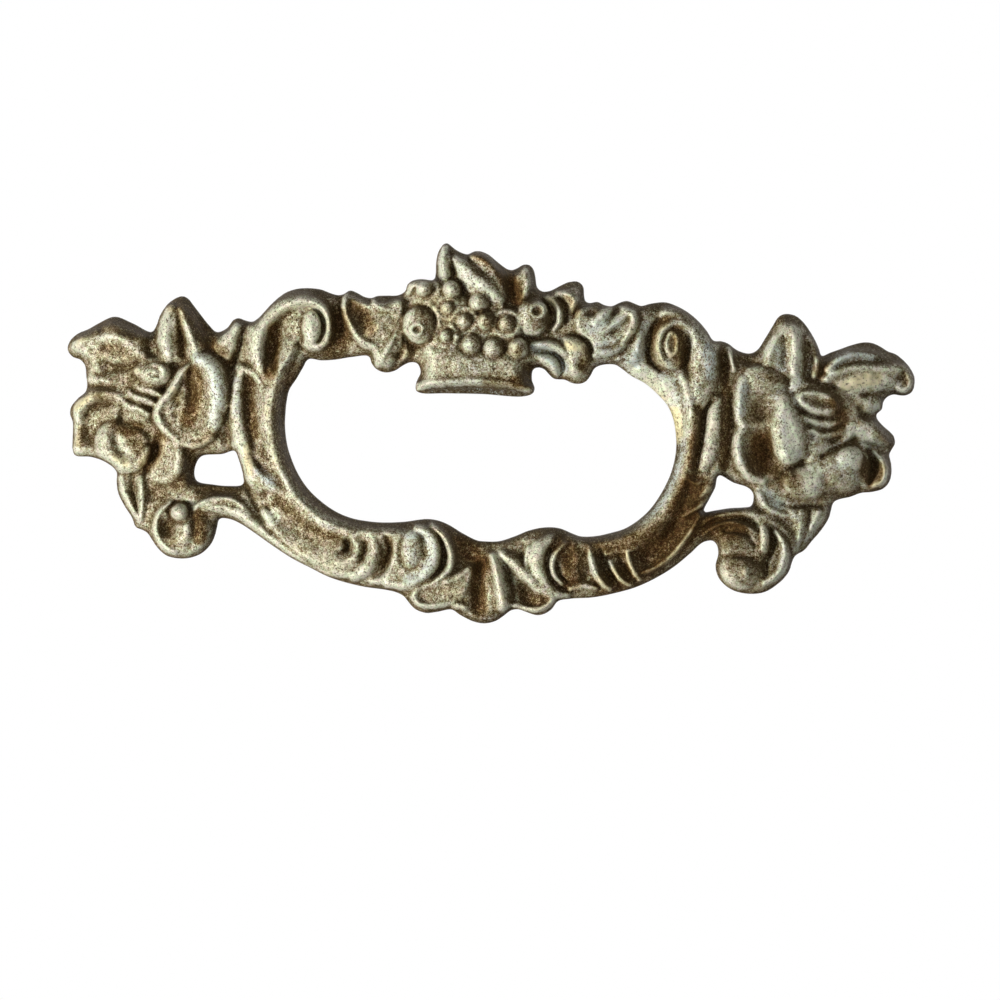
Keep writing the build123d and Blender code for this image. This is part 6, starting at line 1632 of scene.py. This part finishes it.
class PULL_OT_set_stage(bpy.types.Operator):
    """Set the camera, the lights and the pale floor"""
    bl_idname = "pull.set_stage"
    bl_label = "Set Stage"

    def execute(self, context):
        scene, stage = context.scene, context.scene.pull_stage
        aim = Vector(stage.aim)
        c, s = cos(stage.roll), sin(stage.roll)
        camera = bpy.data.objects.new("Camera", bpy.data.cameras.new("Camera"))
        camera.data.sensor_width = 36
        camera.data.lens = camera.data.sensor_width * stage.camera_distance / stage.frame_width
        camera.data.clip_start = 0.01
        camera.matrix_world = Matrix(((c, -s, 0, aim.x), (0, 0, -1, aim.y - stage.camera_distance),
                                      (s, c, 0, aim.z), (0, 0, 0, 1)))
        scene.collection.objects.link(camera)
        scene.camera = camera
        add_lamp("Key", (-0.8, -0.66, -0.36), aim, size=0.3, power=stage.key_power, colour=(1, 0.985, 0.95))
        add_lamp("Fill", (0.9, -0.9, 0.7), aim, size=0.8, power=stage.fill_power, colour=(0.92, 0.96, 1))
        bpy.ops.mesh.primitive_plane_add(size=5, location=(0, 0, stage.floor_height))
        floor = context.object
        floor.name = "Floor"
        material = bpy.data.materials.new("Floor")
        material.use_nodes = True
        make = Shader(material.node_tree)
        # The floor glows a little for the camera only
        seen = make.node('ShaderNodeLightPath', output="Is Camera Ray")
        pale = make.node('ShaderNodeBsdfPrincipled', Base_Color=(0.8, 0.8, 0.8, 1), Roughness=0.8,
                         Emission_Color=(1, 1, 1, 1), Emission_Strength=seen * 0.6)
        make.show(pale)
        floor.data.materials.append(material)
        world = bpy.data.worlds.new("World")
        world.use_nodes = True
        scene.world = world
        make = Shader(world.node_tree)
        # White to the camera, in reflections and through glass, and weaker as a light
        shown = make.node('ShaderNodeLightPath', output="Is Camera Ray")
        shown = shown + make.node('ShaderNodeLightPath', output="Is Glossy Ray")
        shown = (shown + make.node('ShaderNodeLightPath', output="Is Transmission Ray")).clip()
        sky = make.node('ShaderNodeBackground', Color=(1, 1, 1, 1),
                        Strength=shown * (1 - stage.ambient) + stage.ambient)
        make.show(sky, 'ShaderNodeOutputWorld')
        scene.view_settings.view_transform = 'Standard'
        return {'FINISHED'}


STEPS = (PULL_OT_cut_blank, PULL_OT_raise_frame, PULL_OT_raise_foot_scrolls, PULL_OT_raise_lower_scrolls,
         PULL_OT_raise_shell, PULL_OT_raise_flowers, PULL_OT_raise_basket, PULL_OT_stain_and_light, PULL_OT_cast,
         PULL_OT_turn_posts, PULL_OT_finish_brass, PULL_OT_set_stage)


class PULL_PT_steps(bpy.types.Panel):
    """Lists the steps that build the pull"""
    bl_idname = "PULL_PT_steps"
    bl_label = "Drawer Pull"
    bl_space_type = 'VIEW_3D'
    bl_region_type = 'UI'
    bl_category = "Drawer Pull"

    def draw(self, context):
        for step in STEPS:
            self.layout.operator(step.bl_idname)


SETTINGS = {"pull_shape": PullShape, "pull_finish": PullFinish, "pull_stage": PullStage}


def register():
    for cls in (*SETTINGS.values(), *STEPS, PULL_PT_steps):
        bpy.utils.register_class(cls)
    for name, group in SETTINGS.items():
        setattr(bpy.types.Scene, name, PointerProperty(type=group))


def unregister():
    for name in SETTINGS:
        delattr(bpy.types.Scene, name)
    for cls in reversed((*SETTINGS.values(), *STEPS, PULL_PT_steps)):
        bpy.utils.unregister_class(cls)


def main():
    register()
    for step in STEPS:
        group, name = step.bl_idname.split(".")
        getattr(getattr(bpy.ops, group), name)()


if __name__ == "__main__":
    main()
